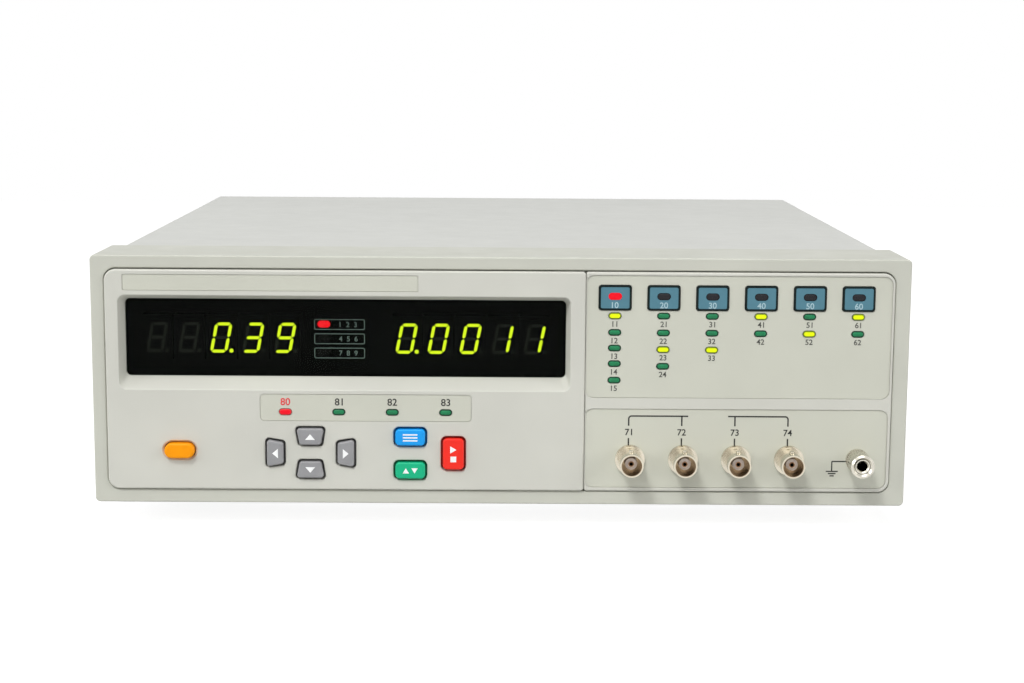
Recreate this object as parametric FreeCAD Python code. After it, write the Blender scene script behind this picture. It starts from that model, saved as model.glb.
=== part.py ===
"""Bench component tester, built as separate pieces, one STEP file for each named piece.

The pieces are drawn in panel coordinates, in millimetres: x runs right from the middle of the
bezel, y runs back from the panel plane and z runs up from the bezel's bottom edge. Each piece
is moved to the part's own frame as it is written: there the origin lies under the middle of the
part, on the surface that it stands on, and the front faces -Y.
An area is a tuple (x0, x1, z0, z1) on the front.
"""
import FreeCAD
import Part
import math
import os

TOUCH = 1e-4            # points closer than this count as one

# Case
BEZEL_AREA = (-168.3, 168.3, 0.0, 103.3)
BEZEL_DEPTH = 39.0
BEZEL_CORNER = 2.0
BEZEL_INNER_CORNER = 0.5
BEZEL_EDGE = 0.5        # bevel on the bezel's outer front edge
SLEEVE_GAP = 0.3        # room for the cover and the tray inside the bezel
OPENING = (-162.8, 161.9, 5.6, 98.05)
OPENING_CORNER = 5.0
OPENING_EDGE = 0.6
LEDGE_FRONT = 3.0       # the panels rest against a ledge from here
LEDGE_BACK = 6.0        # to here
LEFT_WINDOW = (-158.8, 29.7, 9.0, 91.7)
RIGHT_WINDOW = (38.9, 154.5, 12.0, 93.3)
WINDOW_CORNER = 2.0
EAR_HALF_WIDTH = 5.0
EAR_TOP = 13.2
CASE_DEPTH = 347.0
CASE_TOP = 100.7
CASE_BOTTOM = 2.3
CASE_HALF_WIDTH = 166.8
SHEET = 1.2
SHEET_GAP = 0.2
FOLD = 1.5              # outside radius of the cover's folds
COVER_FRONT = 27.0
TRAY_FRONT = 8.0
TRAY_FLANGE_FRONT = 40.0
TRAY_FLANGE_TOP = 20.0
TRAY_REAR_FLANGE_TOP = 14.0
TRAY_REAR_FLANGE_HALF = 152.0
TRAY_FLOOR = CASE_BOTTOM + SHEET
TRAY_HALF_WIDTH = CASE_HALF_WIDTH - SHEET - SHEET_GAP
REAR_THICKNESS = 1.5
REAR_FRONT = CASE_DEPTH - REAR_THICKNESS
RAIL_X = 157.6
RAIL_Z = 94.65
RAIL_SIZE = 7.0
RAIL_HOLE = 7.0
VENT_COUNT = 12
VENT_PITCH = 8.0
VENT_WIDTH = 3.0
VENT_FIRST_Y = 226.0
VENT_BOTTOM = 44.0
VENT_TOP = 76.0

# Screws
M3_RADIUS = 1.5
M3_HOLE = 1.55          # hole that a screw bites into
M3_CLEAR = 1.7          # hole that a screw passes
M3_HEAD = 2.8
M3_HEAD_HEIGHT = 2.0
M3_LOW_HEAD_HEIGHT = 1.4
M3_HEAD_BORE = 3.0
M3_CASE_LENGTH = 6.0
M3_INNER_LENGTH = 5.0
M4_RADIUS = 2.0
M4_HOLE = 2.05
M4_CLEAR = 2.2
M4_HEAD = 3.6
M4_HEAD_HEIGHT = 2.6
M4_LENGTH = 10.0
HEAD_EDGE = 0.7
CROSS_REACH = 0.6       # arms of the cross recess, as a share of the head's radius
CROSS_WIDTH = 0.7
CROSS_DEPTH = 1.0
COVER_SCREW_Y = (60.0, 190.0, 320.0)
COVER_SCREW_Z = 12.0
REAR_SCREW_X = (-140.0, -50.0, 50.0, 140.0)
REAR_SCREW_Z = 9.0
BEZEL_SCREW_X = (-100.0, 100.0)
BEZEL_SCREW_Y = 24.0
LEFT_SCREW_X = (-112.0, -51.5, 10.0)
LEFT_SCREW_Z = (9.6, 94.7)
RIGHT_SCREW_X = (64.1, 130.1)
RIGHT_SCREW_Z = (9.0, 95.5)
PANEL_SCREW_END = 0.8   # depth at which the blind holes in the panels end

# Left panel
DISPLAY_PLATE = (-162.5, 34.7, 5.95, 97.55)
DISPLAY_FRONT = -1.2
PANEL_CORNER = 4.7
DISPLAY_EDGE = 0.8
DISPLAY_SEAM_CORNER = 1.4    # corners where the left panel meets the right one
HOLE_EDGE = 0.5
RECESS_MOUTH = (-157.1, 28.7, 47.85, 87.0)
RECESS_CORNER = 3.0
WINDOW_SIGHT = (-155.2, 26.9, 52.55, 84.8)
SIGHT_CORNER = 2.0
WINDOW_FRONT = 6.0
WINDOW_BACK = 8.2
WINDOW_SEAT = (-156.6, 28.4, 51.2, 86.6)
SEAT_CORNER = 1.5
WINDOW_GAP = 0.2
PLATEAU_FRONT = 5.1
PLATEAU_BEVEL = 0.8
TUB = (-158.3, 29.4, 49.2, 88.3)
TITLE_POCKET = (-155.0, -33.9, 88.9, 95.7)
TITLE_CORNER = 0.8
SORT_POCKET = (-99.3, -11.9, 34.9, 46.3)
SORT_CORNER = 1.8
STRIP_POCKET_DEPTH = 0.45
FILM = 0.25             # thickness of strips and films
FILM_GAP = 0.2

# Boards behind the panels
BOARD = 1.6
DISPLAY_BOARD_AREA = (-157.0, 29.0, 43.9, 90.9)
DISPLAY_BOARD_FRONT = 17.2
DISPLAY_POSTS = [(x, z) for x in (-150.0, -64.0, 22.0) for z in (46.5, 89.0)]
DISPLAY_POST_RADIUS = 2.6
KEY_BOARD_FRONT = 13.0
LEFT_BOARD_AREA = (-108.0, -4.0, 12.6, 43.5)
LEFT_POSTS = [(-104.0, 16.0), (-104.0, 40.0), (-51.5, 21.5), (-8.0, 16.0), (-8.0, 40.0)]
RIGHT_BOARD_AREA = (41.0, 153.5, 47.5, 90.9)
RIGHT_POSTS = [(x, z) for x in (56.8, 136.8) for z in (52.0, 76.0)]
KEY_POST_RADIUS = 3.0

# Display
DIGIT_GROUPS = (-116.3, -12.6)
DIGITS_IN_GROUP = 5
DIGIT_PITCH = 13.3
DIGIT_Z = 68.05
DIGIT_WIDTH = 12.5
DIGIT_HEIGHT = 19.0
DIGIT_FRONT = 9.2
UNIT_X = -73.6
UNIT_Z = (73.95, 67.95, 61.95)

# Lamps
LAMP_WIDTH = 5.2
LAMP_HEIGHT = 2.6
LAMP_GAP = 0.15
LAMP_PROUD = 0.2
LAMP_EDGE = 0.4
SORT_X = (-88.8, -66.75, -44.7, -22.65)
SORT_Z = 38.75
COLUMN_X = [46.76 + 20.0 * column for column in range(6)]
COLUMN_Z = [
    (79.5, 72.6, 66.1, 59.6, 52.7),
    (79.5, 72.5, 65.6, 58.6),
    (79.5, 72.5, 65.5),
    (79.5, 72.4),
    (79.5, 72.4),
    (79.5, 72.4),
]

# Keys
KEY_GAP = 0.8
KEY_FRONT = -2.7
KEY_EDGE = 0.7
KEY_FLANGE_FRONT = LEDGE_FRONT + 0.2
KEY_FLANGE_BACK = KEY_FLANGE_FRONT + 1.0
KEY_FLANGE_LIP = 0.7    # the flange reaches this far past the key's hole
STEM_RADIUS = 1.7
STEM_BACK = 10.2
ARROW_LONG = 13.0
ARROW_SHORT = 10.3
ARROW_DEEP = 8.4
ARROW_CORNER = 1.6
ARROW_KEYS = {
    "up_key": (-78.6, 28.5, "up"),
    "down_key": (-78.6, 14.6, "down"),
    "left_key": (-93.1, 21.5, "left"),
    "right_key": (-63.9, 21.5, "right"),
}
COLOUR_CORNER = 2.2
COLOUR_KEYS = {
    "function_key": (-37.25, 28.4, 13.9, 8.4),
    "limit_key": (-37.25, 14.45, 13.9, 8.4),
    "start_key": (-19.4, 21.5, 10.3, 14.6),
}
FLAT_KEY_NAMES = (
    "parameter_key",
    "frequency_key",
    "level_key",
    "range_key",
    "zero_key",
    "readout_key",
)
FLAT_KEY_Z = 87.0
FLAT_KEY_WIDTH = 13.7
FLAT_KEY_HEIGHT = 10.7
FLAT_KEY_CORNER = 1.3
FLAT_KEY_GAP = 0.25
FLAT_KEY_FRONT = -0.95
FLAT_KEY_EDGE = 0.2
FLAT_KEY_LIP = 0.5
FLAT_LAMP_WIDTH = 5.6
FLAT_LAMP_HEIGHT = 3.0
FLAT_LAMP_RISE = 0.6    # the lamp window sits this far above the key's middle
FLAT_LAMP_DEPTH = 0.4
SWITCH_SIZE = 6.0
SWITCH_FRONT = 9.5
SWITCH_BORE = 1.95
SWITCH_BORE_BACK = 12.0

# Power button and switch
POWER_X = -132.6
POWER_Z = 22.4
POWER_WIDTH = 12.4
POWER_HEIGHT = 6.2
POWER_GAP = 0.4
POWER_DISH = 0.8        # bevel round the button's hole
POWER_FRONT = -3.7
POWER_EDGE = 0.9
POWER_CAP_BACK = 3.2
POWER_STEM = 4.0
POWER_STEM_BACK = 24.0
SWITCH_BODY_SIZE = 12.0
SWITCH_BODY_FRONT = 18.0
SWITCH_BODY_BACK = 42.0
SWITCH_BODY_BORE = 4.6
SWITCH_BODY_BORE_BACK = 29.0

# Right panel
CONTROL_PLATE = (34.9, 161.65, 5.95, 97.55)
CONTROL_FRONT = -0.8
CONTROL_EDGE = 0.7
CONTROL_SEAM_CORNER = 0.9
KEY_POCKET = (34.5, 160.7, 45.3, 96.3)      # open to the left, like the one below
TERMINAL_POCKET = (34.5, 160.4, 7.5, 40.8)
FILM_LEFT = 35.35
POCKET_CORNER = 3.5
POCKET_DEPTH = 0.6
FILM_FRONT = CONTROL_FRONT + POCKET_DEPTH - FILM

# Jacks
JACK_X = [53.75 + 22.0 * jack for jack in range(4)]
JACK_Z = 19.5
JACK_FRONT = -14.5
JACK_FLANGE_RADIUS = 6.15
JACK_FLANGE = 1.6
JACK_COLLAR_RADIUS = 5.3
JACK_COLLAR = 1.4
JACK_RIM_RADIUS = 4.8
JACK_RIM = 4.0          # length of the barrel's rim in front of the lugs
JACK_BARREL_RADIUS = 4.6
JACK_BORE_RADIUS = 4.05
JACK_BORE_BACK = -5.0
JACK_THREAD_RADIUS = 4.5
JACK_THREAD_BACK = 14.0
JACK_HOLE = 4.7
JACK_LUG_RADIUS = 1.0
JACK_LUG_REACH = 5.5
JACK_LUG_Y = -9.3
INSULATOR_RADIUS = 2.45
INSULATOR_FRONT = -9.9
INSULATOR_BACK = 15.0
CONTACT_RADIUS = 1.1
CONTACT_BORE = 0.75
CONTACT_FRONT = -10.1
CONTACT_BACK = 18.0
BORE_GAP = 0.05
JACK_NUT = 14.0         # across the flats
JACK_NUT_BACK = 6.0

# Ground post
POST_X = 148.2
POST_Z = 19.6
POST_COLLAR_RADIUS = 4.8
POST_COLLAR = 2.0
POST_RADIUS = 3.0
POST_FRONT = -13.6
POST_SOCKET_RADIUS = 2.0
POST_SOCKET_BACK = FILM_FRONT - POST_COLLAR
POST_SINK = 0.6         # countersink at the mouth of the socket
POST_THREAD_BACK = 14.0
POST_HOLE = 3.2
POST_NUT = 10.0
POST_NUT_BACK = 6.5
WASHER_RADIUS = 4.5
WASHER = 0.8
KNOB_RADIUS = 4.8
KNOB_BORE = 3.2
KNOB_GAP = 0.1
KNOB_FRONT = -14.5
KNOB_BEVEL = 0.7
KNURL_COUNT = 30
KNURL_RADIUS = 0.3
KNURL_LENGTH = 5.0

# Feet
FOOT_HEIGHT = 10.0      # feet below the bezel's bottom edge
FOOT_X = 130.0
REAR_FOOT_Y = 300.0
REAR_FOOT_TOP_RADIUS = 11.0
REAR_FOOT_RADIUS = 9.5
FOOT_RECESS_RADIUS = 4.3
FOOT_RECESS_TOP = -4.0
FRONT_FOOT_HALF = 15.0
FRONT_FOOT_FRONT = 50.0
FRONT_FOOT_BACK = 104.0
FRONT_FOOT_CORNER = 5.0
FRONT_FOOT_SCREW_Y = 98.0
PEG_Y = 53.0
PEG_RADIUS = 2.0
PEG_HOLE = 2.1
LEG_POCKET_HALF = 10.2
LEG_POCKET_FRONT = 55.0
LEG_POCKET_BACK = 92.6
LEG_POCKET_TOP = -3.4
LEG_HALF = 9.8
LEG_PIVOT_Y = 59.5
LEG_PIVOT_Z = -6.5
LEG_HALF_THICKNESS = 2.5
LEG_TIP_Y = 90.5
LEG_PIN_RADIUS = 1.5
LEG_PIN_REACH = 13.0
LEG_PIN_HOLE = 1.8
LEG_PIN_HOLE_REACH = 13.4
LEG_GRIP_WIDTH = 1.4
LEG_GRIP_DEPTH = 0.6
LEG_GRIP_Y = (80.0, 83.0, 86.0)

# Mains inlet
INLET_X = -118.0
INLET_Z = 48.0
INLET_FLANGE = (32.0, 42.0)
INLET_BODY = (27.0, 37.0)
INLET_FLANGE_BACK = CASE_DEPTH + 2.5
INLET_BODY_FRONT = 322.0
INLET_CORNER = 2.0
INLET_CUTOUT_GAP = 0.3
SOCKET_Z = INLET_Z - 7.0
SOCKET_HALF = (12.2, 8.2)
SOCKET_BEVEL = 4.5
SOCKET_CORNER = 0.8
SOCKET_FLOOR = 332.0
PIN_SIZE = (2.0, 4.0)
PIN_FRONT = 316.0
PIN_BACK = 343.0
PIN_PLACES = ((-7.0, -2.0), (0.0, 2.0), (7.0, -2.0))
DRAWER_Z = INLET_Z + 12.0
DRAWER_SLOT = (22.0, 9.0)
DRAWER_SIZE = (21.4, 8.4)
DRAWER_LIP = (24.0, 11.0)
DRAWER_LIP_THICKNESS = 1.5
DRAWER_LIP_GAP = 0.2
DRAWER_FRONT = 327.5
DRAWER_SLOT_FRONT = 326.5
DRAWER_CORNER = 0.8
FUSE_BAY = (6.4, 6.0)   # width and depth of the hollow for the fuse
FUSE_BAY_FRONT = 328.3
FUSE_BAY_BACK = 349.1
FUSE_RADIUS = 2.6
FUSE_LENGTH = 20.0

# Main board and what it carries
MAIN_BOARD = (-60.0, 150.0, 62.0, 250.0)    # x0, x1, y0, y1
MAIN_BOARD_BOTTOM = 12.0
MAIN_BOARD_TOP = MAIN_BOARD_BOTTOM + BOARD
STANDOFF_PLACES = [(x, y) for x in (-52.0, 45.0, 142.0) for y in (78.0, 242.0)]
STANDOFF_RADIUS = 3.0
CHIP_HEIGHT = 3.5
CHIP_SIZE = (14.0, 20.0)
CHIP_PLACES = [(x, y) for x in (60.0, 85.0, 110.0) for y in (110.0, 145.0, 180.0)]
RELAY_SIZE = (15.0, 11.0)
RELAY_HEIGHT = 11.0
RELAY_PLACES = [(x, 90.0) for x in (70.0, 92.0, 114.0)]
CAPACITOR_RADIUS = 6.5
CAPACITOR_HEIGHT = 25.0
CAPACITOR_PLACES = [(-40.0 + 18.0 * i, 222.0) for i in range(4)]
SINK_PLATE = (-45.0, 15.0, 190.0, 193.0)    # x0, x1, y0, y1
SINK_HEIGHT = 38.0
SINK_FINS = 7
FIN_DEPTH = 9.0
FIN_THICKNESS = 1.6
TERMINAL_BLOCK = (47.0, 125.0, 64.0, 72.0)  # x0, x1, y0, y1
TERMINAL_BLOCK_HEIGHT = 7.0

# Transformer
CORE_AREA = (-151.0, -85.0, TRAY_FLOOR, TRAY_FLOOR + 55.0)
CORE_FRONT = 245.0
CORE_BACK = 275.0
CORE_LIMB = 11.0
COIL_LIMB = 22.0
COIL_BULGE = 10.0       # the coil stands this far out of the core, front and back
COIL_GAP = 0.3

# Leads inside the case
RIBBON_X = (-28.0, -8.0)
RIBBON_THICKNESS = 0.9
RIBBON_TOP = 69.0
RIBBON_Y = 72.0
RIBBON_BEND = 8.0
PLUG_DEPTH = 7.0
PLUG_HALF = 3.5
PLUG_SIDE = 2.0
LEAD_RADIUS = 1.3
LEAD_BEND = 30.0
LEAD_START = CONTACT_BACK + 0.1
LEAD_END_Z = MAIN_BOARD_TOP + 3.5
LEAD_TURNS = (34.0, 50.0)

# The part's own frame
FRONT_REACH = -JACK_FRONT
REAR_REACH = INLET_FLANGE_BACK + DRAWER_LIP_GAP + DRAWER_LIP_THICKNESS - CASE_DEPTH
FRONT_Y = (FRONT_REACH - CASE_DEPTH - REAR_REACH) / 2
FRAME_SHIFT = FreeCAD.Vector(0, FRONT_Y, FOOT_HEIGHT)


# Basic shapes

def vector(x, y, z):
    return FreeCAD.Vector(x, y, z)


def block(x0, x1, y0, y1, z0, z1):
    return Part.makeBox(x1 - x0, y1 - y0, z1 - z0, vector(x0, y0, z0))


def centred(x, z, width, height):
    """Area of a rectangle about a middle point."""
    return (x - width / 2, x + width / 2, z - height / 2, z + height / 2)


def grown(area, margin):
    x0, x1, z0, z1 = area
    return (x0 - margin, x1 + margin, z0 - margin, z1 + margin)


def corners_of(area):
    x0, x1, z0, z1 = area
    return [(x0, z0), (x1, z0), (x1, z1), (x0, z1)]


def rounded_edges(points, radius, closed):
    """Edges through the points, with an arc of the radius at each corner."""
    count = len(points)
    bends = []
    for i, here in enumerate(points):
        if not closed and i in (0, count - 1):
            bends.append((here, None, here))
            continue
        back = (points[i - 1] - here).normalize()
        ahead = (points[(i + 1) % count] - here).normalize()
        half_angle = back.getAngle(ahead) / 2
        setback = radius / math.tan(half_angle)
        inward = (back + ahead).normalize()
        middle = here + inward * (radius / math.sin(half_angle) - radius)
        bends.append((here + back * setback, middle, here + ahead * setback))
    edges = []
    for i, (start, middle, end) in enumerate(bends):
        if middle is not None:
            edges.append(Part.Arc(start, middle, end).toShape())
        if i == count - 1 and not closed:
            break
        following = bends[(i + 1) % count][0]
        if (following - end).Length > TOUCH:
            edges.append(Part.LineSegment(end, following).toShape())
    return edges


def outline(corners, y, radius):
    """Closed wire through (x, z) corners in the plane y."""
    points = [vector(x, y, z) for x, z in corners]
    if radius == 0:
        return Part.makePolygon(points + points[:1])
    return Part.Wire(rounded_edges(points, radius, True))


def prism(corners, y0, y1, radius=0):
    return Part.Face(outline(corners, y0, radius)).extrude(vector(0, y1 - y0, 0))


def slab(area, y0, y1, radius=0):
    return prism(corners_of(area), y0, y1, radius)


def rod(x, z, y0, y1, radius):
    """Cylinder along y."""
    return Part.makeCylinder(radius, y1 - y0, vector(x, y0, z), vector(0, 1, 0))


def pillar(x, y, z0, z1, radius):
    """Cylinder along z."""
    return Part.makeCylinder(radius, z1 - z0, vector(x, y, z0), vector(0, 0, 1))


def turned(x, z, profile):
    """Solid turned about an axis along y, from a closed profile of (radius, y) points."""
    points = [vector(radius, y, 0) for radius, y in profile]
    face = Part.Face(Part.makePolygon(points + points[:1]))
    solid = face.revolve(vector(0, 0, 0), vector(0, 1, 0), 360)
    solid.translate(vector(x, 0, z))
    return solid


def hexagon(x, z, across_flats):
    """Corners of a hexagon with flats at top and bottom."""
    reach = across_flats / math.sqrt(3)
    angles = [math.radians(60 * i) for i in range(6)]
    return [(x + reach * math.cos(a), z + reach * math.sin(a)) for a in angles]


def in_plane(edge, y):
    middle = edge.valueAt((edge.FirstParameter + edge.LastParameter) / 2)
    heights = [vertex.Y for vertex in edge.Vertexes] + [middle.y]
    return all(abs(height - y) < TOUCH for height in heights)


def inside(edge, area):
    x0, x1, z0, z1 = area
    return all(x0 <= v.X <= x1 and z0 <= v.Z <= z1 for v in edge.Vertexes)


def softened(solid, y, radius, area=None):
    """Solid with the edges in the plane y rounded, only those inside the area if one is given."""
    edges = [edge for edge in solid.Edges if in_plane(edge, y)]
    if area is not None:
        edges = [edge for edge in edges if inside(edge, area)]
    return solid.makeFillet(radius, edges)


def bevelled(solid, y, size, area):
    """Solid with the edges in the plane y and inside the area cut off at 45 degrees."""
    edges = [edge for edge in solid.Edges if in_plane(edge, y) and inside(edge, area)]
    return solid.makeChamfer(size, edges)


def aimed(shape, place, direction):
    """Copy of a shape drawn about +z at the origin, moved to a place and turned to a direction."""
    copy = shape.copy()
    turn = FreeCAD.Rotation(vector(0, 0, 1), direction)
    copy.Placement = FreeCAD.Placement(place, turn)
    return copy


def swept(points, bend, profile):
    """Profile wire swept along a path with rounded bends."""
    path = Part.Wire(rounded_edges(points, bend, False))
    return path.makePipeShell([profile], True, False)


# Screws

def screw(radius, length, head_radius, head_height):
    """Pan-head screw with a cross recess: the head stands on the plane z = 0, the shank hangs below."""
    head = Part.makeCylinder(head_radius, head_height)
    rim = [edge for edge in head.Edges if in_top(edge, head_height)]
    head = head.makeFillet(HEAD_EDGE, rim)
    arm = head_radius * CROSS_REACH
    half = CROSS_WIDTH / 2
    floor = head_height - CROSS_DEPTH
    head = head.cut(block(-arm, arm, -half, half, floor, head_height))
    head = head.cut(block(-half, half, -arm, arm, floor, head_height))
    shank = Part.makeCylinder(radius, length, vector(0, 0, -length))
    return head.fuse(shank)


def in_top(edge, height):
    return all(abs(vertex.Z - height) < TOUCH for vertex in edge.Vertexes)


def case_screws():
    pattern = screw(M3_RADIUS, M3_CASE_LENGTH, M3_HEAD, M3_LOW_HEAD_HEIGHT)
    screws = []
    for side in (-1, 1):
        for y in COVER_SCREW_Y:
            place = vector(side * CASE_HALF_WIDTH, y, COVER_SCREW_Z)
            screws.append(aimed(pattern, place, vector(side, 0, 0)))
        rail_end = vector(side * RAIL_X, CASE_DEPTH, RAIL_Z)
        screws.append(aimed(pattern, rail_end, vector(0, 1, 0)))
    for x in REAR_SCREW_X:
        screws.append(aimed(pattern, vector(x, CASE_DEPTH, REAR_SCREW_Z), vector(0, 1, 0)))
    for x in BEZEL_SCREW_X:
        screws.append(aimed(pattern, vector(x, BEZEL_SCREW_Y, 0), vector(0, 0, -1)))
    return Part.makeCompound(screws)


def panel_screw_places():
    """Middle points of the screws that hold the two panels against the bezel's ledge."""
    left = [(x, z) for x in LEFT_SCREW_X for z in LEFT_SCREW_Z]
    right = [(x, z) for x in RIGHT_SCREW_X for z in RIGHT_SCREW_Z]
    return left, right


def inner_screws():
    pattern = screw(M3_RADIUS, M3_INNER_LENGTH, M3_HEAD, M3_HEAD_HEIGHT)
    left, right = panel_screw_places()
    backs = [(x, LEDGE_BACK, z) for x, z in left + right]
    backs += [(x, DISPLAY_BOARD_FRONT + BOARD, z) for x, z in DISPLAY_POSTS]
    backs += [(x, KEY_BOARD_FRONT + BOARD, z) for x, z in LEFT_POSTS + RIGHT_POSTS]
    screws = [aimed(pattern, vector(*place), vector(0, 1, 0)) for place in backs]
    for side in (-1, 1):
        place = vector(side * RAIL_X, LEDGE_FRONT + M3_HEAD_HEIGHT + FILM_GAP, RAIL_Z)
        screws.append(aimed(pattern, place, vector(0, -1, 0)))
    for x, y in STANDOFF_PLACES:
        screws.append(aimed(pattern, vector(x, y, MAIN_BOARD_TOP), vector(0, 0, 1)))
    return Part.makeCompound(screws)


def foot_screw_places():
    return [(side * FOOT_X, y) for side in (-1, 1) for y in (FRONT_FOOT_SCREW_Y, REAR_FOOT_Y)]


def foot_screws():
    pattern = screw(M4_RADIUS, M4_LENGTH, M4_HEAD, M4_HEAD_HEIGHT)
    places = [vector(x, y, FOOT_RECESS_TOP) for x, y in foot_screw_places()]
    return Part.makeCompound([aimed(pattern, place, vector(0, 0, -1)) for place in places])


# Case

def front_bezel():
    shell = slab(BEZEL_AREA, 0, BEZEL_DEPTH, BEZEL_CORNER)
    shell = bevelled(shell, 0, BEZEL_EDGE, grown(BEZEL_AREA, TOUCH))
    half_width = CASE_HALF_WIDTH + SLEEVE_GAP
    hollow = (-half_width, half_width, CASE_BOTTOM - SLEEVE_GAP, CASE_TOP + SLEEVE_GAP)
    shell = shell.cut(slab(hollow, LEDGE_BACK, BEZEL_DEPTH, BEZEL_INNER_CORNER))
    shell = shell.cut(slab(OPENING, 0, LEDGE_FRONT, OPENING_CORNER))
    shell = softened(shell, 0, OPENING_EDGE, grown(OPENING, TOUCH))
    for window in (LEFT_WINDOW, RIGHT_WINDOW):
        shell = shell.cut(slab(window, LEDGE_FRONT, LEDGE_BACK, WINDOW_CORNER))
    ears = []
    for x in LEFT_SCREW_X:
        ear = (x - EAR_HALF_WIDTH, x + EAR_HALF_WIDTH, OPENING[2], EAR_TOP)
        ears.append(slab(ear, LEDGE_FRONT, LEDGE_BACK))
    shell = shell.fuse(ears).removeSplitter()
    left, right = panel_screw_places()
    holes = [rod(x, z, LEDGE_FRONT, LEDGE_BACK, M3_CLEAR) for x, z in left + right]
    bore_back = LEDGE_FRONT + M3_HEAD_HEIGHT + FILM_GAP
    for side in (-1, 1):
        holes.append(rod(side * RAIL_X, RAIL_Z, LEDGE_FRONT, bore_back, M3_HEAD_BORE))
        holes.append(rod(side * RAIL_X, RAIL_Z, bore_back, LEDGE_BACK, M3_CLEAR))
    holes += [pillar(x, BEZEL_SCREW_Y, 0, CASE_BOTTOM, M3_CLEAR) for x in BEZEL_SCREW_X]
    return shell.cut(holes)


def top_cover():
    outer = (-CASE_HALF_WIDTH, CASE_HALF_WIDTH, CASE_BOTTOM - FOLD, CASE_TOP)
    cover = slab(outer, COVER_FRONT, CASE_DEPTH, FOLD)
    cover = cover.cut(slab(grown(outer, -SHEET), COVER_FRONT, CASE_DEPTH, FOLD - SHEET))
    below = block(-CASE_HALF_WIDTH, CASE_HALF_WIDTH, COVER_FRONT, CASE_DEPTH, outer[2], CASE_BOTTOM)
    cover = cover.cut(below)
    holes = []
    for side in (-1, 1):
        inner, outer_face = sorted((side * (CASE_HALF_WIDTH - SHEET), side * CASE_HALF_WIDTH))
        for y in COVER_SCREW_Y:
            hole = Part.makeCylinder(M3_CLEAR, SHEET, vector(inner, y, COVER_SCREW_Z), vector(1, 0, 0))
            holes.append(hole)
        for i in range(VENT_COUNT):
            y = VENT_FIRST_Y + VENT_PITCH * i
            holes.append(block(inner, outer_face, y, y + VENT_WIDTH, VENT_BOTTOM, VENT_TOP))
    return cover.cut(holes)


def bottom_tray():
    half = TRAY_HALF_WIDTH
    tray = block(-half, half, TRAY_FRONT, REAR_FRONT, CASE_BOTTOM, TRAY_FLOOR)
    flanges = []
    for side in (-1, 1):
        x0, x1 = sorted((side * (half - SHEET), side * half))
        flanges.append(block(x0, x1, TRAY_FLANGE_FRONT, REAR_FRONT, TRAY_FLOOR, TRAY_FLANGE_TOP))
    rear_half = TRAY_REAR_FLANGE_HALF
    flanges.append(
        block(-rear_half, rear_half, REAR_FRONT - SHEET, REAR_FRONT, TRAY_FLOOR, TRAY_REAR_FLANGE_TOP)
    )
    tray = tray.fuse(flanges + [switch_shelf()]).removeSplitter()
    holes = []
    for side in (-1, 1):
        inner = min(side * (half - SHEET), side * half)
        for y in COVER_SCREW_Y:
            start = vector(inner, y, COVER_SCREW_Z)
            holes.append(Part.makeCylinder(M3_HOLE, SHEET, start, vector(1, 0, 0)))
        holes.append(pillar(side * FOOT_X, PEG_Y, CASE_BOTTOM, TRAY_FLOOR, PEG_HOLE))
    holes += [rod(x, REAR_SCREW_Z, REAR_FRONT - SHEET, REAR_FRONT, M3_HOLE) for x in REAR_SCREW_X]
    holes += [pillar(x, BEZEL_SCREW_Y, CASE_BOTTOM, TRAY_FLOOR, M3_HOLE) for x in BEZEL_SCREW_X]
    holes += [pillar(x, y, CASE_BOTTOM, TRAY_FLOOR, M4_HOLE) for x, y in foot_screw_places()]
    return tray.cut(holes)


def rear_panel():
    half = TRAY_HALF_WIDTH
    area = (-half, half, TRAY_FLOOR + SHEET_GAP, CASE_TOP - SHEET - SHEET_GAP)
    panel = slab(area, REAR_FRONT, CASE_DEPTH, FOLD - SHEET)
    cutout = grown(centred(INLET_X, INLET_Z, *INLET_BODY), INLET_CUTOUT_GAP)
    holes = [slab(cutout, REAR_FRONT, CASE_DEPTH)]
    holes += [rod(x, REAR_SCREW_Z, REAR_FRONT, CASE_DEPTH, M3_CLEAR) for x in REAR_SCREW_X]
    holes += [rod(side * RAIL_X, RAIL_Z, REAR_FRONT, CASE_DEPTH, M3_CLEAR) for side in (-1, 1)]
    return panel.cut(holes)


def upper_rails():
    rails = []
    for side in (-1, 1):
        x = side * RAIL_X
        rail = slab(centred(x, RAIL_Z, RAIL_SIZE, RAIL_SIZE), LEDGE_BACK, REAR_FRONT)
        ends = [
            rod(x, RAIL_Z, LEDGE_BACK, LEDGE_BACK + RAIL_HOLE, M3_HOLE),
            rod(x, RAIL_Z, REAR_FRONT - RAIL_HOLE, REAR_FRONT, M3_HOLE),
        ]
        rails.append(rail.cut(ends))
    return Part.makeCompound(rails)


# Keys

def arrow_corners(name, margin):
    """Corners of an arrow key's hole, its long side outward, grown by a margin."""
    x, z, way = ARROW_KEYS[name]
    far = ARROW_LONG / 2 + margin
    near = ARROW_SHORT / 2 + margin
    deep = ARROW_DEEP / 2 + margin
    upright = [(-near, -deep), (near, -deep), (far, deep), (-far, deep)]
    turns = {
        "up": lambda a, b: (a, b),
        "down": lambda a, b: (-a, -b),
        "left": lambda a, b: (-b, a),
        "right": lambda a, b: (b, -a),
    }
    return [(x + dx, z + dz) for dx, dz in (turns[way](a, b) for a, b in upright)]


def colour_corners(name, margin):
    return corners_of(grown(centred(*COLOUR_KEYS[name]), margin))


def flat_area(index):
    return centred(COLUMN_X[index], FLAT_KEY_Z, FLAT_KEY_WIDTH, FLAT_KEY_HEIGHT)


def key(cap, flange, x, z):
    """Key cap with the flange that holds it behind its panel and the stem that works its switch."""
    stem = rod(x, z, KEY_FLANGE_BACK, STEM_BACK, STEM_RADIUS)
    return cap.fuse([flange, stem]).removeSplitter()


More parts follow.
